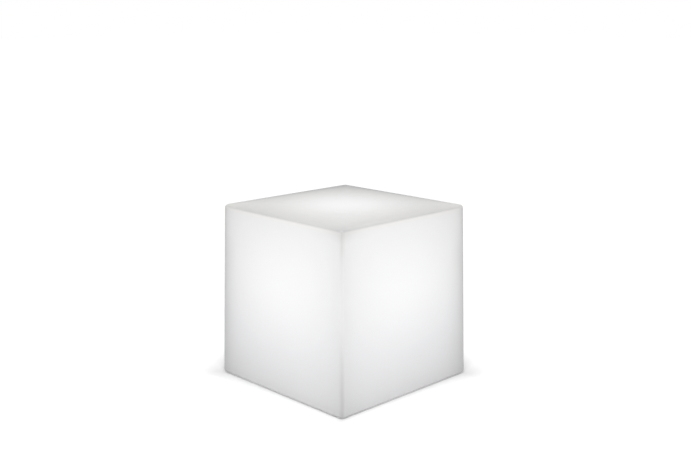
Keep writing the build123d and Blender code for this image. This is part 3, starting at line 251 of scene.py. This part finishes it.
def places_on_cube(skin):
    """Where a point is and which way it faces. Shares are 1 at an edge or a corner, and 0 at the middle."""
    at = SimpleNamespace()
    at.spot = skin.place()
    at.facing = skin.add("ShaderNodeTexCoord").outputs["Normal"]
    x, y, at.z = skin.axes(at.spot)
    left, front, at.up = skin.axes(at.facing)
    at.height = skin.sum("DIVIDE", at.z, 2 * CUBE_HALF)
    at.off_axis = skin.sum("MULTIPLY_ADD", x, x, skin.sum("MULTIPLY", y, y))

    half = skin.ramp(at.z, 0.0, 2 * CUBE_HALF, smooth=False, to_low=CUBE_HALF, to_high=TOP_HALF)
    across = skin.sum("DIVIDE", skin.sum("ABSOLUTE", x), half)
    along = skin.sum("DIVIDE", skin.sum("ABSOLUTE", y), half)
    from_middle = skin.sum("ABSOLUTE", skin.sum("SUBTRACT", at.z, CUBE_HALF))
    at.wider = skin.sum("MAXIMUM", across, along)
    at.narrower = skin.sum("MINIMUM", across, along)
    high_or_low = skin.sum("MINIMUM", at.wider, skin.sum("DIVIDE", from_middle, CUBE_HALF))
    at.near_edge = skin.sum("MAXIMUM", at.narrower, high_or_low)

    # towards the left or right upright edge, the front one, the back one, and either back wall
    product = skin.sum("DIVIDE", skin.sum("MULTIPLY", x, y), skin.sum("MULTIPLY", half, half))
    at.outer = skin.sum("MAXIMUM", skin.sum("MULTIPLY", product, -1.0), 0.0)
    backward = skin.sum("DIVIDE", skin.sum("ADD", x, y), skin.sum("MULTIPLY", half, 2.0))
    at.forward = skin.sum("MAXIMUM", skin.sum("MULTIPLY", backward, -1.0), 0.0)
    at.back = skin.sum("MAXIMUM", backward, 0.0)
    at.back_edge = skin.sum("MAXIMUM", skin.sum("DIVIDE", skin.sum("MAXIMUM", x, y), half), 0.0)

    # on the rounding of an upright edge, and on the rounding of a top edge
    flank = skin.sum("ABSOLUTE", left), skin.sum("ABSOLUTE", front)
    at.upright = skin.sum("MULTIPLY", skin.sum("MINIMUM", *flank), 2 ** 0.5)
    brow = skin.sum("MINIMUM", skin.sum("MAXIMUM", *flank), skin.sum("MAXIMUM", at.up, 0.0))
    at.brow = skin.sum("MULTIPLY", brow, skin.sum("SUBTRACT", 1.0, at.upright))
    return at


def wall_glow_and_shade(skin, at):
    """A wall is brightest level with the light's spread, and fades down the cube and into its corners. The
    darkening close to the floor and at the left and right upright edges is painted shade.
    """
    ray = skin.vector_sum("SUBTRACT", at.spot, (0.0, 0.0, WALL_BRIGHTEST))
    reach = skin.sum("POWER", skin.vector_sum("LENGTH", ray), 3.0)
    toward = skin.sum("MAXIMUM", skin.vector_sum("DOT_PRODUCT", at.facing, ray), 0.0)
    scattered = skin.sum("MULTIPLY_ADD", at.height, WALL_CURVE, WALL_RISE)
    scattered = skin.sum("MULTIPLY_ADD", scattered, at.height, WALL_FLOOR)
    glow = skin.sum("MULTIPLY_ADD", skin.sum("DIVIDE", toward, reach), WALL_DIRECT, scattered)
    glow = skin.sum("MULTIPLY_ADD", skin.sum("POWER", at.narrower, 4.0), -WALL_SIDES, glow)
    # painted shade close to the floor
    foot = skin.sum("EXPONENT", skin.sum("DIVIDE", at.z, -FOOT_FADE))
    glow = skin.sum("MULTIPLY_ADD", foot, -WALL_FOOT_SHADE, glow)

    # painted shade towards the left and right upright edges, a little less of it near the top
    high = skin.ramp(at.z, *HIGH_PART)
    closeness = skin.sum("MULTIPLY_ADD", high, HIGH_POWER, OUTER_POWER)
    loss = skin.sum("MULTIPLY_ADD", high, -HIGH_OUTER, -WALL_OUTER_SHADE)
    kept = skin.sum("MULTIPLY_ADD", skin.sum("POWER", at.outer, closeness), loss, 1.0)
    return skin.sum("MULTIPLY", glow, kept)


def lid_glow_and_shade(skin, at):
    """The top has a round bright patch over the lamp, and is duller towards its edges, most at the back,
    where painted shade darkens it. Painted light brightens its left and right corners.
    """
    glow = LID_FLOOR
    far_edge = skin.sum("POWER", at.back_edge, 12.0)
    changes = (
        (skin.sum("EXPONENT", skin.sum("DIVIDE", at.off_axis, -LID_PATCH ** 2)), LID_BRIGHT),
        (skin.sum("POWER", at.wider, 4.0), -LID_SIDES),
        # painted light at the left and right corners, and painted shade towards the back corner and along the
        # back edges
        (skin.sum("POWER", at.outer, 3.0), LID_OUTER_LIGHT),
        (skin.sum("POWER", at.back, 4.0), -LID_BACK_SHADE),
        (skin.sum("MULTIPLY", far_edge, skin.ramp(at.back, 0.0, 0.5, to_low=LID_BACK_LEAST)), -LID_BACK_EDGE_SHADE),
    )
    for place, amount in changes:
        glow = skin.sum("MULTIPLY_ADD", place, amount, glow)
    return glow


def share_let_through_and_shade(skin, at):
    """Darker on the rounding of the upright edges, most at their ends, partly where the moulding is thicker
    and partly painted shade. Darker underneath, partly turned away from the lamp and partly painted shade
    near the floor.
    """
    ends = skin.sum("MULTIPLY", skin.sum("SUBTRACT", at.height, EDGE_BRIGHTEST), 2.0)
    ends = skin.sum("POWER", ends, 2.0)
    rim = skin.sum("MULTIPLY", skin.sum("MULTIPLY", at.upright, ends), EDGE_ENDS)
    underside = skin.ramp(at.up, -0.1, -0.9, to_low=1.0, to_high=UNDERSIDE)
    ripple = skin.ramp(skin.clouds(0.05, 2.0), 0.2, 0.8, to_low=1.0 - RIPPLE, to_high=1.0 + RIPPLE)
    return skin.sum("MULTIPLY", skin.sum("MULTIPLY", skin.sum("SUBTRACT", 1.0, rim), ripple), underside)


def tone_of_glow(skin, at, on_lid):
    """Cool low down, neutral above, and warm along the top's edges."""
    high_edge = skin.sum("MULTIPLY", skin.ramp(at.near_edge, 0.90, 0.99), skin.ramp(at.z, 0.33, 0.40))
    rim = skin.sum("MULTIPLY", on_lid, skin.sum("MULTIPLY", at.wider, at.wider))
    tone = skin.blend(skin.ramp(at.z, 0.12, 0.28), LOW_TONE, HIGH_TONE)
    return skin.blend(skin.sum("MAXIMUM", rim, high_edge), tone, WARM_TONE)


def white_moulding():
    """Injection-moulded white plastic with a fine spark-eroded grain."""
    plastic = Finish("white_plastic", (0.74, 0.74, 0.73), 0.45)
    plastic.stain(0.012, 0.012)
    plastic.rub(0.004, 0.40, 0.52)
    plastic.press(plastic.pits(0.0005), 0.00001)
    return plastic


def button_plastic():
    """Glossier white plastic, worn a little by fingers."""
    plastic = Finish("white_button", (0.78, 0.78, 0.77), 0.26)
    plastic.set("Coat Weight", 0.25)
    plastic.stain(0.006, 0.01)
    plastic.rub(0.003, 0.22, 0.32)
    plastic.press(plastic.clouds(0.0012, 2.0), 0.000006)
    return plastic


def soft_cover():
    """Grey soft plastic of the socket's cover, a little polished where thumbs rub it."""
    cover = Finish("grey_cover", (0.30, 0.31, 0.32), 0.6)
    cover.stain(0.005, 0.05)
    cover.rub(0.005, 0.48, 0.68)
    cover.press(cover.pits(0.00035), 0.000015)
    return cover


def rubber(name, colour):
    """Rubber with a dry bloom and fine grain."""
    skin = Finish(name, colour, 0.75)
    skin.stain(0.006, 0.12)
    skin.rub(0.004, 0.62, 0.85)
    skin.press(skin.pits(0.0004), 0.00002)
    return skin


def turned_metal(name, colour, roughness, groove=0.00025):
    """Bar metal with faint turning rings."""
    metal = Finish(name, colour, roughness, 1.0)
    metal.stain(0.004, 0.05)
    metal.rub(0.002, roughness * 0.8, roughness * 1.3)
    metal.press(metal.clouds(groove, 2.0, (1.0, 1.0, 6.0)), 0.000008)
    return metal


def screw_metal(name, points_up):
    """Stainless steel with a plain head and thread-fine rings along the shank."""
    metal = Finish(name + "_steel", (0.60, 0.60, 0.59), 0.3, 1.0)
    metal.stain(0.004, 0.05)
    metal.rub(0.002, 0.24, 0.38)
    low, high = (corner[2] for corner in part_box(name))
    seat, way = (low + SCREW_HEAD, 1) if points_up else (high - SCREW_HEAD, -1)
    z = metal.axes(metal.place())[2]
    shank = metal.ramp(z, seat, seat + way * THREAD_PITCH)
    turns = metal.sum("SINE", metal.sum("MULTIPLY", z, 2 * pi / THREAD_PITCH))
    metal.press(metal.sum("MULTIPLY", turns, shank), 0.00004)
    metal.press(metal.clouds(0.0004, 2.0), 0.000006)
    return metal


def knurled_brass():
    """Brass insert with crossed knurling."""
    metal = Finish("brass", (0.72, 0.50, 0.20), 0.32, 1.0)
    metal.stain(0.004, 0.08)
    metal.rub(0.002, 0.26, 0.42)
    x, y, z = metal.axes(metal.place())
    lean = metal.sum("ADD", metal.sum("ADD", x, y), z)
    other = metal.sum("SUBTRACT", metal.sum("ADD", x, y), z)
    ridges = [metal.sum("SINE", metal.sum("MULTIPLY", way, 2 * pi / KNURL_PITCH)) for way in (lean, other)]
    metal.press(metal.sum("ADD", *ridges), 0.00007)
    return metal


def circuit_board():
    """Green lacquered board with copper runs under the lacquer."""
    board = Finish("circuit_board", (0.02, 0.13, 0.05), 0.32)
    board.set("Coat Weight", 0.4)
    weave = board.add("ShaderNodeTexVoronoi", feature="F1", distance="MANHATTAN")
    board.feed(weave.inputs["Vector"], board.place())
    weave.inputs["Scale"].default_value = 170.0
    runs = board.sum("SINE", board.sum("MULTIPLY", weave.outputs["Distance"], 34.0))
    copper = board.ramp(runs, 0.35, 0.5)
    board.paint(board.blend(copper, (0.014, 0.10, 0.04), (0.035, 0.20, 0.075)))
    board.rub(0.004, 0.26, 0.4)
    board.press(copper, 0.00003)
    return board


def board_pieces():
    """Black chips, a copper coil and a sleeved capacitor, told apart by their places."""
    body = Finish("chip_black", (0.03, 0.03, 0.032), 0.45)
    x, y, z = body.axes(body.place())
    left = body.ramp(x, 0.001, -0.001)
    front = body.ramp(y, 0.001, -0.001)
    coil = body.sum("MULTIPLY", left, front)
    can = body.sum("MULTIPLY", body.sum("SUBTRACT", 1.0, left), front)
    tint = body.blend(coil, (0.03, 0.03, 0.032), (0.10, 0.085, 0.075))
    top = body.ramp(z, CAN_TOP, CAN_TOP + 0.0001)
    tint = body.blend(can, tint, body.blend(top, (0.03, 0.06, 0.16), (0.62, 0.62, 0.62)))
    lamp = body.ramp(z, BOARD_UNDER, BOARD_UNDER - 0.0001)
    body.paint(body.blend(lamp, tint, (0.75, 0.77, 0.72)))
    body.rub(0.003, 0.36, 0.55)
    body.press(body.pits(0.0003), 0.00001)
    return body


def cell_sleeve():
    """Shrink sleeve round each cell, with bare steel ends."""
    sleeve = Finish("cell_wrap", (0.04, 0.16, 0.34), 0.28)
    sleeve.set("Coat Weight", 0.3)
    low, high = (corner[2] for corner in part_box("battery_cells"))
    z = sleeve.axes(sleeve.place())[2]
    foot = sleeve.ramp(z, low + 0.0003, low + 0.0001)
    head = sleeve.ramp(z, high - 0.0003, high - 0.0001)
    ends = sleeve.sum("MAXIMUM", foot, head)
    sleeve.paint(sleeve.blend(ends, (0.04, 0.16, 0.34), (0.66, 0.66, 0.65)))
    sleeve.feed(sleeve.shader.inputs["Metallic"], ends)
    sleeve.rub(0.008, 0.22, 0.36)
    sleeve.press(sleeve.clouds(0.004, 3.0, (1.0, 1.0, 0.25)), 0.00006)
    return sleeve


def lead_sleeve(name, across):
    """PVC sleeves, red for plus and black for minus, on either side of a line through the pair."""
    sleeve = Finish(name, (0.3, 0.02, 0.02), 0.42)
    spot = sleeve.place()
    side = sleeve.ramp(sleeve.axes(spot)[across], -0.0002, 0.0002)
    sleeve.paint(sleeve.blend(side, (0.02, 0.02, 0.021), (0.42, 0.02, 0.018)))
    sleeve.rub(0.003, 0.36, 0.5)
    sleeve.press(sleeve.clouds(0.0008, 2.0), 0.00001)
    return sleeve


def plain_plastic(name, colour, roughness):
    """Moulded plastic or ceramic with nothing special about it."""
    plastic = Finish(name, colour, roughness)
    plastic.stain(0.006, 0.04)
    plastic.rub(0.004, roughness * 0.85, roughness * 1.2)
    plastic.press(plastic.pits(0.0004), 0.00001)
    return plastic


def lit_plastic(name, colour, roughness, strength, tint):
    """Opal plastic or a lens that is lit while the lamp is on."""
    plastic = Finish(name, colour, roughness)
    glow = plastic.ramp(plastic.clouds(0.01, 2.0), 0.2, 0.8, to_low=0.94, to_high=1.0)
    plastic.feed(plastic.shader.inputs["Emission Color"], plastic.scaled(tint, glow))
    plastic.set("Emission Strength", strength)
    plastic.rub(0.004, roughness * 0.85, roughness * 1.2)
    plastic.press(plastic.clouds(0.0008, 2.0), 0.000006)
    plastic.material.cycles.emission_sampling = "NONE"
    return plastic


def led_board_lacquer():
    """Aluminium board under white lacquer, with paler pads over its copper."""
    board = Finish("aluminium_board", (0.80, 0.80, 0.79), 0.35)
    from_axis = board.vector_sum("LENGTH", board.place((1.0, 1.0, 0.0)))
    rings = board.sum("SINE", board.sum("MULTIPLY", from_axis, 2 * pi / 0.006))
    runs = board.ramp(rings, 0.2, 0.35)
    board.paint(board.blend(runs, (0.76, 0.76, 0.75), (0.82, 0.82, 0.81)))
    board.rub(0.004, 0.28, 0.42)
    board.press(runs, 0.00002)
    return board


def clear_acrylic():
    """Clear rod, with faint scratches on its ends."""
    rod = Finish("clear_acrylic", (0.9, 0.93, 0.94), 0.08)
    rod.set("Transmission Weight", 0.85)
    rod.set("IOR", 1.49)
    rod.rub(0.002, 0.05, 0.14)
    rod.press(rod.clouds(0.0005, 2.0), 0.000004)
    return rod


# ---------------------------------------------------------------- each finish on its parts
def dress(finish, *names):
    for name in names:
        for slot in parts[name].material_slots:
            slot.link = "OBJECT"
            slot.material = finish.material


dress(milky_shell(), "cube_shell")
dress(knurled_brass(), "shell_inserts")
dress(rubber("black_rubber", (0.03, 0.03, 0.031)), "rubber_feet")
dress(plain_plastic("vent_plastic", (0.74, 0.74, 0.73), 0.5), "vent_plug")
dress(white_moulding(), "base_plate", "module_housing")
seals = ("base_gasket", "housing_seal", "dome_seal", "button_seal", "socket_seal", "cover_seal")
dress(rubber("grey_silicone", (0.38, 0.39, 0.40)), *seals)
for name in ("flange_screws", "housing_screws"):
    dress(screw_metal(name, points_up=True), name)
for name in ("tray_screws", "bracket_screws", "led_board_screws", "dome_screws"):
    dress(screw_metal(name, points_up=False), name)
dress(turned_metal("pin_steel", (0.60, 0.60, 0.59), 0.28), "cover_pin")
dress(clear_acrylic(), "charge_light_pipe")
dress(button_plastic(), "power_button")
dress(turned_metal("spring_steel", (0.58, 0.58, 0.57), 0.28), "button_clip")
dress(turned_metal("nickel", (0.66, 0.63, 0.58), 0.26), "cell_links", "socket_nut", "board_pillars")
black_plastic = plain_plastic("black_plastic", (0.035, 0.035, 0.036), 0.4)
dress(black_plastic, "push_switch", "switch_plunger", "charge_socket")
cover_plastic = soft_cover()
dress(cover_plastic, "port_cover")
dress(circuit_board(), "control_board")
dress(board_pieces(), "board_components")
dress(plain_plastic("connector_white", (0.76, 0.73, 0.66), 0.4), "board_connectors")
dress(plain_plastic("tray_plastic", (0.07, 0.07, 0.074), 0.55), "battery_tray", "battery_bracket")
dress(cell_sleeve(), "battery_cells")
dress(lead_sleeve("socket_lead_sleeve", 1), "socket_leads")
dress(lead_sleeve("battery_lead_sleeve", 0), "battery_leads")
dress(lead_sleeve("led_lead_sleeve", 0), "led_leads")
dress(led_board_lacquer(), "led_board")
dress(lit_plastic("led_package", (0.86, 0.80, 0.45), 0.2, 3.0, (1.0, 0.96, 0.88)), "led_emitters")
dress(lit_plastic("opal_plastic", (0.86, 0.86, 0.85), 0.3, 1.2, (1.0, 0.99, 0.96)), "diffuser_dome")


# ---------------------------------------------------------------- small pieces, sized in millimetres
MM = 0.001
MARK_RADIUS = 3.6  # power mark: its ring's middle line
MARK_LINE = 0.8
MARK_HEIGHT = 0.36
MARK_SOFTENING = 0.06
MARK_ARC = 290  # degrees
MARK_TURN = 55  # degrees, which brings the ring's gap to the top
RING_LEVEL = 12.48
BAR_LEVEL = 12.5
BAR_LENGTH = 3.2
BAR_PLACE = 2.9
GRIP_SIZE = (0.5, 7.0, 0.4)
GRIP_EDGE = 0.12
GRIP_LEVEL = 13.45
GRIP_PLACES = (22.4, 23.6, 24.8)
LEG_SECTION = (0.15, 0.4)
LEG_EXIT = 0.65  # height at which a leg leaves its chip
LEG_STEPS = ((0.3, 0.0, 0.0), (0.12, 0.0, -0.06), (0.2, 0.0, -0.4), (0.12, 0.0, -0.11), (0.45, 0.0, 0.0))
LEG_PITCH = 1.0
LEG_SUNK = 0.05
CHARGER_CHIP = {"middle": (-14.0, 14.0), "side": 9.0, "legs": 8}
DRIVER_CHIP = {"middle": (14.0, 14.0), "side": 6.0, "legs": 5}
BODY_SIZE = (1.5, 1.15, 0.55)  # resistors and capacitors
BODY_LEVEL = 0.29
BODY_EDGE = 0.05
CAP_SIZE = (0.42, 1.25, 0.62)
CAP_LEVEL = 0.31
CAP_EDGE = 0.07
CAP_OFFSET = 0.85
RESISTOR_PLACES = (  # x, y and a turn in degrees
    (-5.5, 17, 0), (-5.5, 14, 0), (-5.5, 11, 0), (7.5, 16.5, 0), (7.5, 13.5, 0), (4, -11, 90),
    (4, -15, 90), (0, 24, 0), (3.5, 24, 0), (0, -24, 0), (24, 4, 90), (24, -4, 90),
)
CAPACITOR_PLACES = (
    (-17, 6.2, 90), (-14, 6.2, 90), (-11, 6.2, 90), (11.5, 7, 90), (14, 7, 90), (16.5, 7, 90),
    (-3.5, 24, 0), (-4, -11, 0), (-4, -15, 0), (-4, -19, 0),
)
LED_RING = 23  # radius of the resistors' ring on the LED board
LED_RING_TURNS = range(30, 390, 60)


def block(name, size, middle, edge):
    """A small block with its edges broken."""
    bpy.ops.object.select_all(action="DESELECT")
    bpy.ops.mesh.primitive_cube_add(size=1.0)
    piece = bpy.context.object
    piece.name = name
    bpy.ops.object.mode_set(mode="EDIT")
    bpy.ops.mesh.select_all(action="SELECT")
    bpy.ops.transform.resize(value=[side * MM for side in size], center_override=(0.0, 0.0, 0.0))
    bpy.ops.mesh.bevel(offset=edge * MM, segments=2)
    bpy.ops.transform.translate(value=[way * MM for way in middle])
    bpy.ops.object.mode_set(mode="OBJECT")
    return piece


def finished(piece, finish):
    piece.data.materials.clear()
    piece.data.materials.append(finish.material)
    return piece


def joined(name, pieces):
    bpy.ops.object.select_all(action="DESELECT")
    for piece in pieces:
        piece.select_set(True)
    bpy.context.view_layer.objects.active = pieces[0]
    bpy.ops.object.join()
    pieces[0].name = name
    return pieces[0]


def laid_out(name, pattern, places, level=0.0):
    """Copies of one piece at one level in metres, each at its own x and y, and turned by its own degrees."""
    copies = []
    for x, y, turn in places:
        copy = pattern.copy()
        copy.data = pattern.data.copy()
        bpy.context.scene.collection.objects.link(copy)
        move = Matrix.Translation((x * MM, y * MM, level))
        copy.data.transform(move @ Matrix.Rotation(radians(turn), 4, "Z"))
        copies.append(copy)
    bpy.data.objects.remove(pattern)
    return joined(name, copies)


def strip_end(size, axis, start):
    """The cross-section that a strip starts from. It is left selected, in edit mode."""
    bpy.ops.object.select_all(action="DESELECT")
    bpy.ops.mesh.primitive_plane_add(size=1.0)
    strip = bpy.context.object
    bpy.ops.object.mode_set(mode="EDIT")
    bpy.ops.mesh.select_all(action="SELECT")
    bpy.ops.transform.resize(value=(size[0] * MM, size[1] * MM, 1.0), center_override=(0.0, 0.0, 0.0))
    bpy.ops.transform.rotate(value=pi / 2, orient_axis=axis, center_override=(0.0, 0.0, 0.0))
    bpy.ops.transform.translate(value=[way * MM for way in start])
    return strip


def power_mark(finish):
    """The raised ring and bar of a power switch, in the hollow of the button's face."""
    ring = strip_end((MARK_LINE, MARK_HEIGHT), "X", (MARK_RADIUS, 0.0, RING_LEVEL))
    bpy.ops.mesh.spin(steps=44, angle=radians(MARK_ARC), center=(0.0, 0.0, 0.0), axis=(0.0, 0.0, 1.0))
    bpy.ops.mesh.select_all(action="SELECT")
    bpy.ops.mesh.remove_doubles(threshold=0.000001)
    bpy.ops.mesh.normals_make_consistent(inside=False)
    bpy.ops.object.mode_set(mode="OBJECT")
    ring.data.transform(Matrix.Rotation(radians(MARK_TURN), 4, "Z"))
    soften = ring.modifiers.new("soften", "BEVEL")
    soften.width = MARK_SOFTENING * MM
    soften.segments = 2
    soften.limit_method = "ANGLE"
    bpy.ops.object.modifier_apply(modifier="soften")
    bar_size = (MARK_LINE, BAR_LENGTH, MARK_HEIGHT)
    bar = block("power_bar", bar_size, (0.0, BAR_PLACE, BAR_LEVEL), MARK_SOFTENING)
    return finished(joined("power_mark", [ring, bar]), finish)


def cover_grips(finish):
    """Three ribs near the free end of the socket's cover, for a fingernail."""
    rib = block("grip", GRIP_SIZE, (0.0, 0.0, GRIP_LEVEL), GRIP_EDGE)
    return finished(laid_out("cover_grips", rib, [(x, 0, 0) for x in GRIP_PLACES]), finish)


def chip_leg():
    """One bent leg that leaves a chip's side along +X and lands on the board."""
    leg = strip_end(LEG_SECTION, "Y", (0.0, 0.0, LEG_EXIT))
    for step in LEG_STEPS:
        bpy.ops.mesh.extrude_region_move(TRANSFORM_OT_translate={"value": [way * MM for way in step]})
    bpy.ops.mesh.select_all(action="SELECT")
    bpy.ops.mesh.normals_make_consistent(inside=False)
    bpy.ops.object.mode_set(mode="OBJECT")
    return leg


def chip_legs(name, chip, finish):
    """A row of legs along each side of a square chip."""
    places = []
    for turn in (0, 90, 180, 270):
        out = Vector((cos(radians(turn)), sin(radians(turn))))
        along = Vector((-out.y, out.x))
        for step in range(chip["legs"]):
            shift = (step - (chip["legs"] - 1) / 2) * LEG_PITCH
            spot = Vector(chip["middle"]) + out * (chip["side"] / 2 - LEG_SUNK) + along * shift
            places.append((spot.x, spot.y, turn))
    return finished(laid_out(name, chip_leg(), places, BOARD_TOP), finish)


def chip_parts(name, core, caps, places, level):
    """Surface-mounted parts, each with its body and its two tinned ends."""
    body = finished(block("part_body", BODY_SIZE, (0.0, 0.0, BODY_LEVEL), BODY_EDGE), core)
    ends = [block("part_end", CAP_SIZE, (way, 0.0, CAP_LEVEL), CAP_EDGE) for way in (-CAP_OFFSET, CAP_OFFSET)]
    pattern = joined("chip_part", [body] + [finished(end, caps) for end in ends])
    return laid_out(name, pattern, places, level)


def round_places(radius, turns):
    return [(radius * cos(radians(turn)), radius * sin(radians(turn)), turn + 90) for turn in turns]


resistor_ceramic = plain_plastic("resistor_ceramic", (0.05, 0.05, 0.055), 0.35)
capacitor_ceramic = plain_plastic("capacitor_ceramic", (0.34, 0.22, 0.12), 0.4)
tin = turned_metal("tin_plate", (0.70, 0.70, 0.68), 0.3)
mark_grey = plain_plastic("mark_grey", (0.25, 0.26, 0.27), 0.4)

mark = power_mark(mark_grey)
grips = cover_grips(cover_plastic)
charger_legs = chip_legs("charger_chip_legs", CHARGER_CHIP, tin)
driver_legs = chip_legs("driver_chip_legs", DRIVER_CHIP, tin)
resistors = chip_parts("board_resistors", resistor_ceramic, tin, RESISTOR_PLACES, BOARD_TOP)
capacitors = chip_parts("board_capacitors", capacitor_ceramic, tin, CAPACITOR_PLACES, BOARD_TOP)
led_ring = round_places(LED_RING, LED_RING_TURNS)
led_resistors = chip_parts("led_board_resistors", resistor_ceramic, tin, led_ring, LED_BOARD_TOP)
pieces = (  # each with the body that it rides and the part's material that it is made of
    (mark, "button", "grey_cover"),
    (grips, "cover", "grey_cover"),
    (charger_legs, "root", "nickel"),
    (driver_legs, "root", "nickel"),
    (resistors, "root", "chip_black"),
    (capacitors, "root", "chip_black"),
    (led_resistors, "root", "chip_black"),
)
for piece, body, slot in pieces:
    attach(piece, body)


# ---------------------------------------------------------------- studio
SKY_LEVEL = 0.42
FLOOR_SIZE = 60.0  # metres, as are all places here
PAINTED_SHADOW_LIFT = 0.2  # how far the floor is lifted to white: next to the cube, beside it and far from it; lifting it less next to the cube paints a shadow round the foot
FLOOR_LIFT = 0.58
FAR_LIFT = 0.75
PAINTED_SHADOW_REACH = (-0.005, 0.06)
PAINTED_SHADOW_FRONT = 1.4  # what a distance counts for at the front corner, where the painted shadow is narrowest
PAINTED_SHADOW_BACK = 0.4  # and behind the cube, where it is widest
FAR_REACH = (0.5, 3.5)
KEY_PLACE = (-0.78, -0.79, 1.15)
KEY_POWER = 9.0
KEY_SIZE = 0.5
TOP_PLACE = (0.0, 0.0, 3.2)
TOP_POWER = 2.0
TOP_SIZE = 2.4
LAMP_AIM = (0.0, 0.0, 0.2)
CAMERA_PLACE = (-1.5253, -1.5692, 0.8182)
CAMERA_TURN = 0.773  # radians, from +Y towards +X
CAMERA_DIP = 0.212
CAMERA_LENS = 51.61  # millimetres, as is the sensor
CAMERA_SENSOR = 36.0


def white_room():
    """An even pale sky that is plain white to look at."""
    world = bpy.data.worlds.new("studio")
    bpy.context.scene.world = world
    world.use_nodes = True
    nodes, links = world.node_tree.nodes, world.node_tree.links
    sky = nodes["Background"]
    sky.inputs["Color"].default_value = (1.0, 1.0, 1.0, 1.0)
    path = nodes.new("ShaderNodeLightPath")
    seen = path.outputs["Is Camera Ray"]
    for kind in ("Is Glossy Ray", "Is Transmission Ray"):
        either = nodes.new("ShaderNodeMath")
        either.operation = "MAXIMUM"
        links.new(seen, either.inputs[0])
        links.new(path.outputs[kind], either.inputs[1])
        seen = either.outputs[0]
    level = nodes.new("ShaderNodeMapRange")
    links.new(seen, level.inputs["Value"])
    level.inputs["To Min"].default_value = SKY_LEVEL
    level.inputs["To Max"].default_value = 1.0
    links.new(level.outputs["Result"], sky.inputs["Strength"])


def pale_floor():
    """A wide floor that looks white, with a narrow shadow round the cube's foot: partly the lamps' own shade,
    and painted where the floor is lifted less near the cube.
    """
    bpy.ops.object.select_all(action="DESELECT")
    bpy.ops.mesh.primitive_plane_add(size=FLOOR_SIZE)
    floor = bpy.context.object
    floor.name = "floor"
    paper = Finish("floor_paper", (0.9, 0.9, 0.9), 0.9)
    paper.set("Specular IOR Level", 0.0)
    paper.set("Emission Color", (1.0, 1.0, 1.0, 1.0))
    path = paper.add("ShaderNodeLightPath")
    seen = paper.sum("MAXIMUM", path.outputs["Is Camera Ray"], path.outputs["Is Glossy Ray"])
    seen = paper.sum("MAXIMUM", seen, path.outputs["Is Transmission Ray"])
    paper.feed(paper.shader.inputs["Emission Strength"], paper.sum("MULTIPLY", seen, floor_lift(paper)))
    paper.material.cycles.emission_sampling = "NONE"
    floor.data.materials.append(paper.material)


def floor_lift(paper):
    """Grows with the way out from the cube's footprint, and once more far off. Being low near the footprint,
    it paints the shadow round the foot.
    """
    spot = paper.place()
    x, y, z = paper.axes(spot)
    squares = []
    for way in (x, y):
        past = paper.sum("MAXIMUM", paper.sum("SUBTRACT", paper.sum("ABSOLUTE", way), CUBE_HALF), 0.0)
        squares.append(paper.sum("MULTIPLY", past, past))
    beside = paper.sum("SQRT", paper.sum("ADD", *squares))
    width = paper.ramp(paper.sum("ADD", x, y), -2 * CUBE_HALF, CUBE_HALF / 2, smooth=False,
                       to_low=PAINTED_SHADOW_FRONT, to_high=PAINTED_SHADOW_BACK)
    beside = paper.sum("MULTIPLY", beside, width)
    # lifted less near the footprint, which paints the shadow round the foot
    near = paper.ramp(beside, *PAINTED_SHADOW_REACH, to_low=PAINTED_SHADOW_LIFT, to_high=FLOOR_LIFT)
    away = paper.ramp(paper.vector_sum("LENGTH", spot), *FAR_REACH, to_high=FAR_LIFT - FLOOR_LIFT)
    return paper.sum("ADD", near, away)


def softbox(name, spot, power, size):
    lamp = bpy.data.lights.new(name, "AREA")
    lamp.shape = "SQUARE"
    lamp.size = size
    lamp.energy = power
    box = bpy.data.objects.new(name, lamp)
    bpy.context.scene.collection.objects.link(box)
    box.location = spot
    box.rotation_euler = (Vector(LAMP_AIM) - Vector(spot)).to_track_quat("-Z", "Y").to_euler()


def camera():
    """At the height of a seated person, level with one upright edge."""
    data = bpy.data.cameras.new("camera")
    data.lens = CAMERA_LENS
    data.sensor_width = CAMERA_SENSOR
    lens = bpy.data.objects.new("camera", data)
    bpy.context.scene.collection.objects.link(lens)
    lens.location = CAMERA_PLACE
    level = cos(CAMERA_DIP)
    ahead = Vector((sin(CAMERA_TURN) * level, cos(CAMERA_TURN) * level, -sin(CAMERA_DIP)))
    lens.rotation_euler = ahead.to_track_quat("-Z", "Y").to_euler()
    bpy.context.scene.camera = lens


white_room()
pale_floor()
softbox("key_softbox", KEY_PLACE, KEY_POWER, KEY_SIZE)
softbox("top_softbox", TOP_PLACE, TOP_POWER, TOP_SIZE)
camera()
bpy.context.scene.view_settings.view_transform = "Standard"
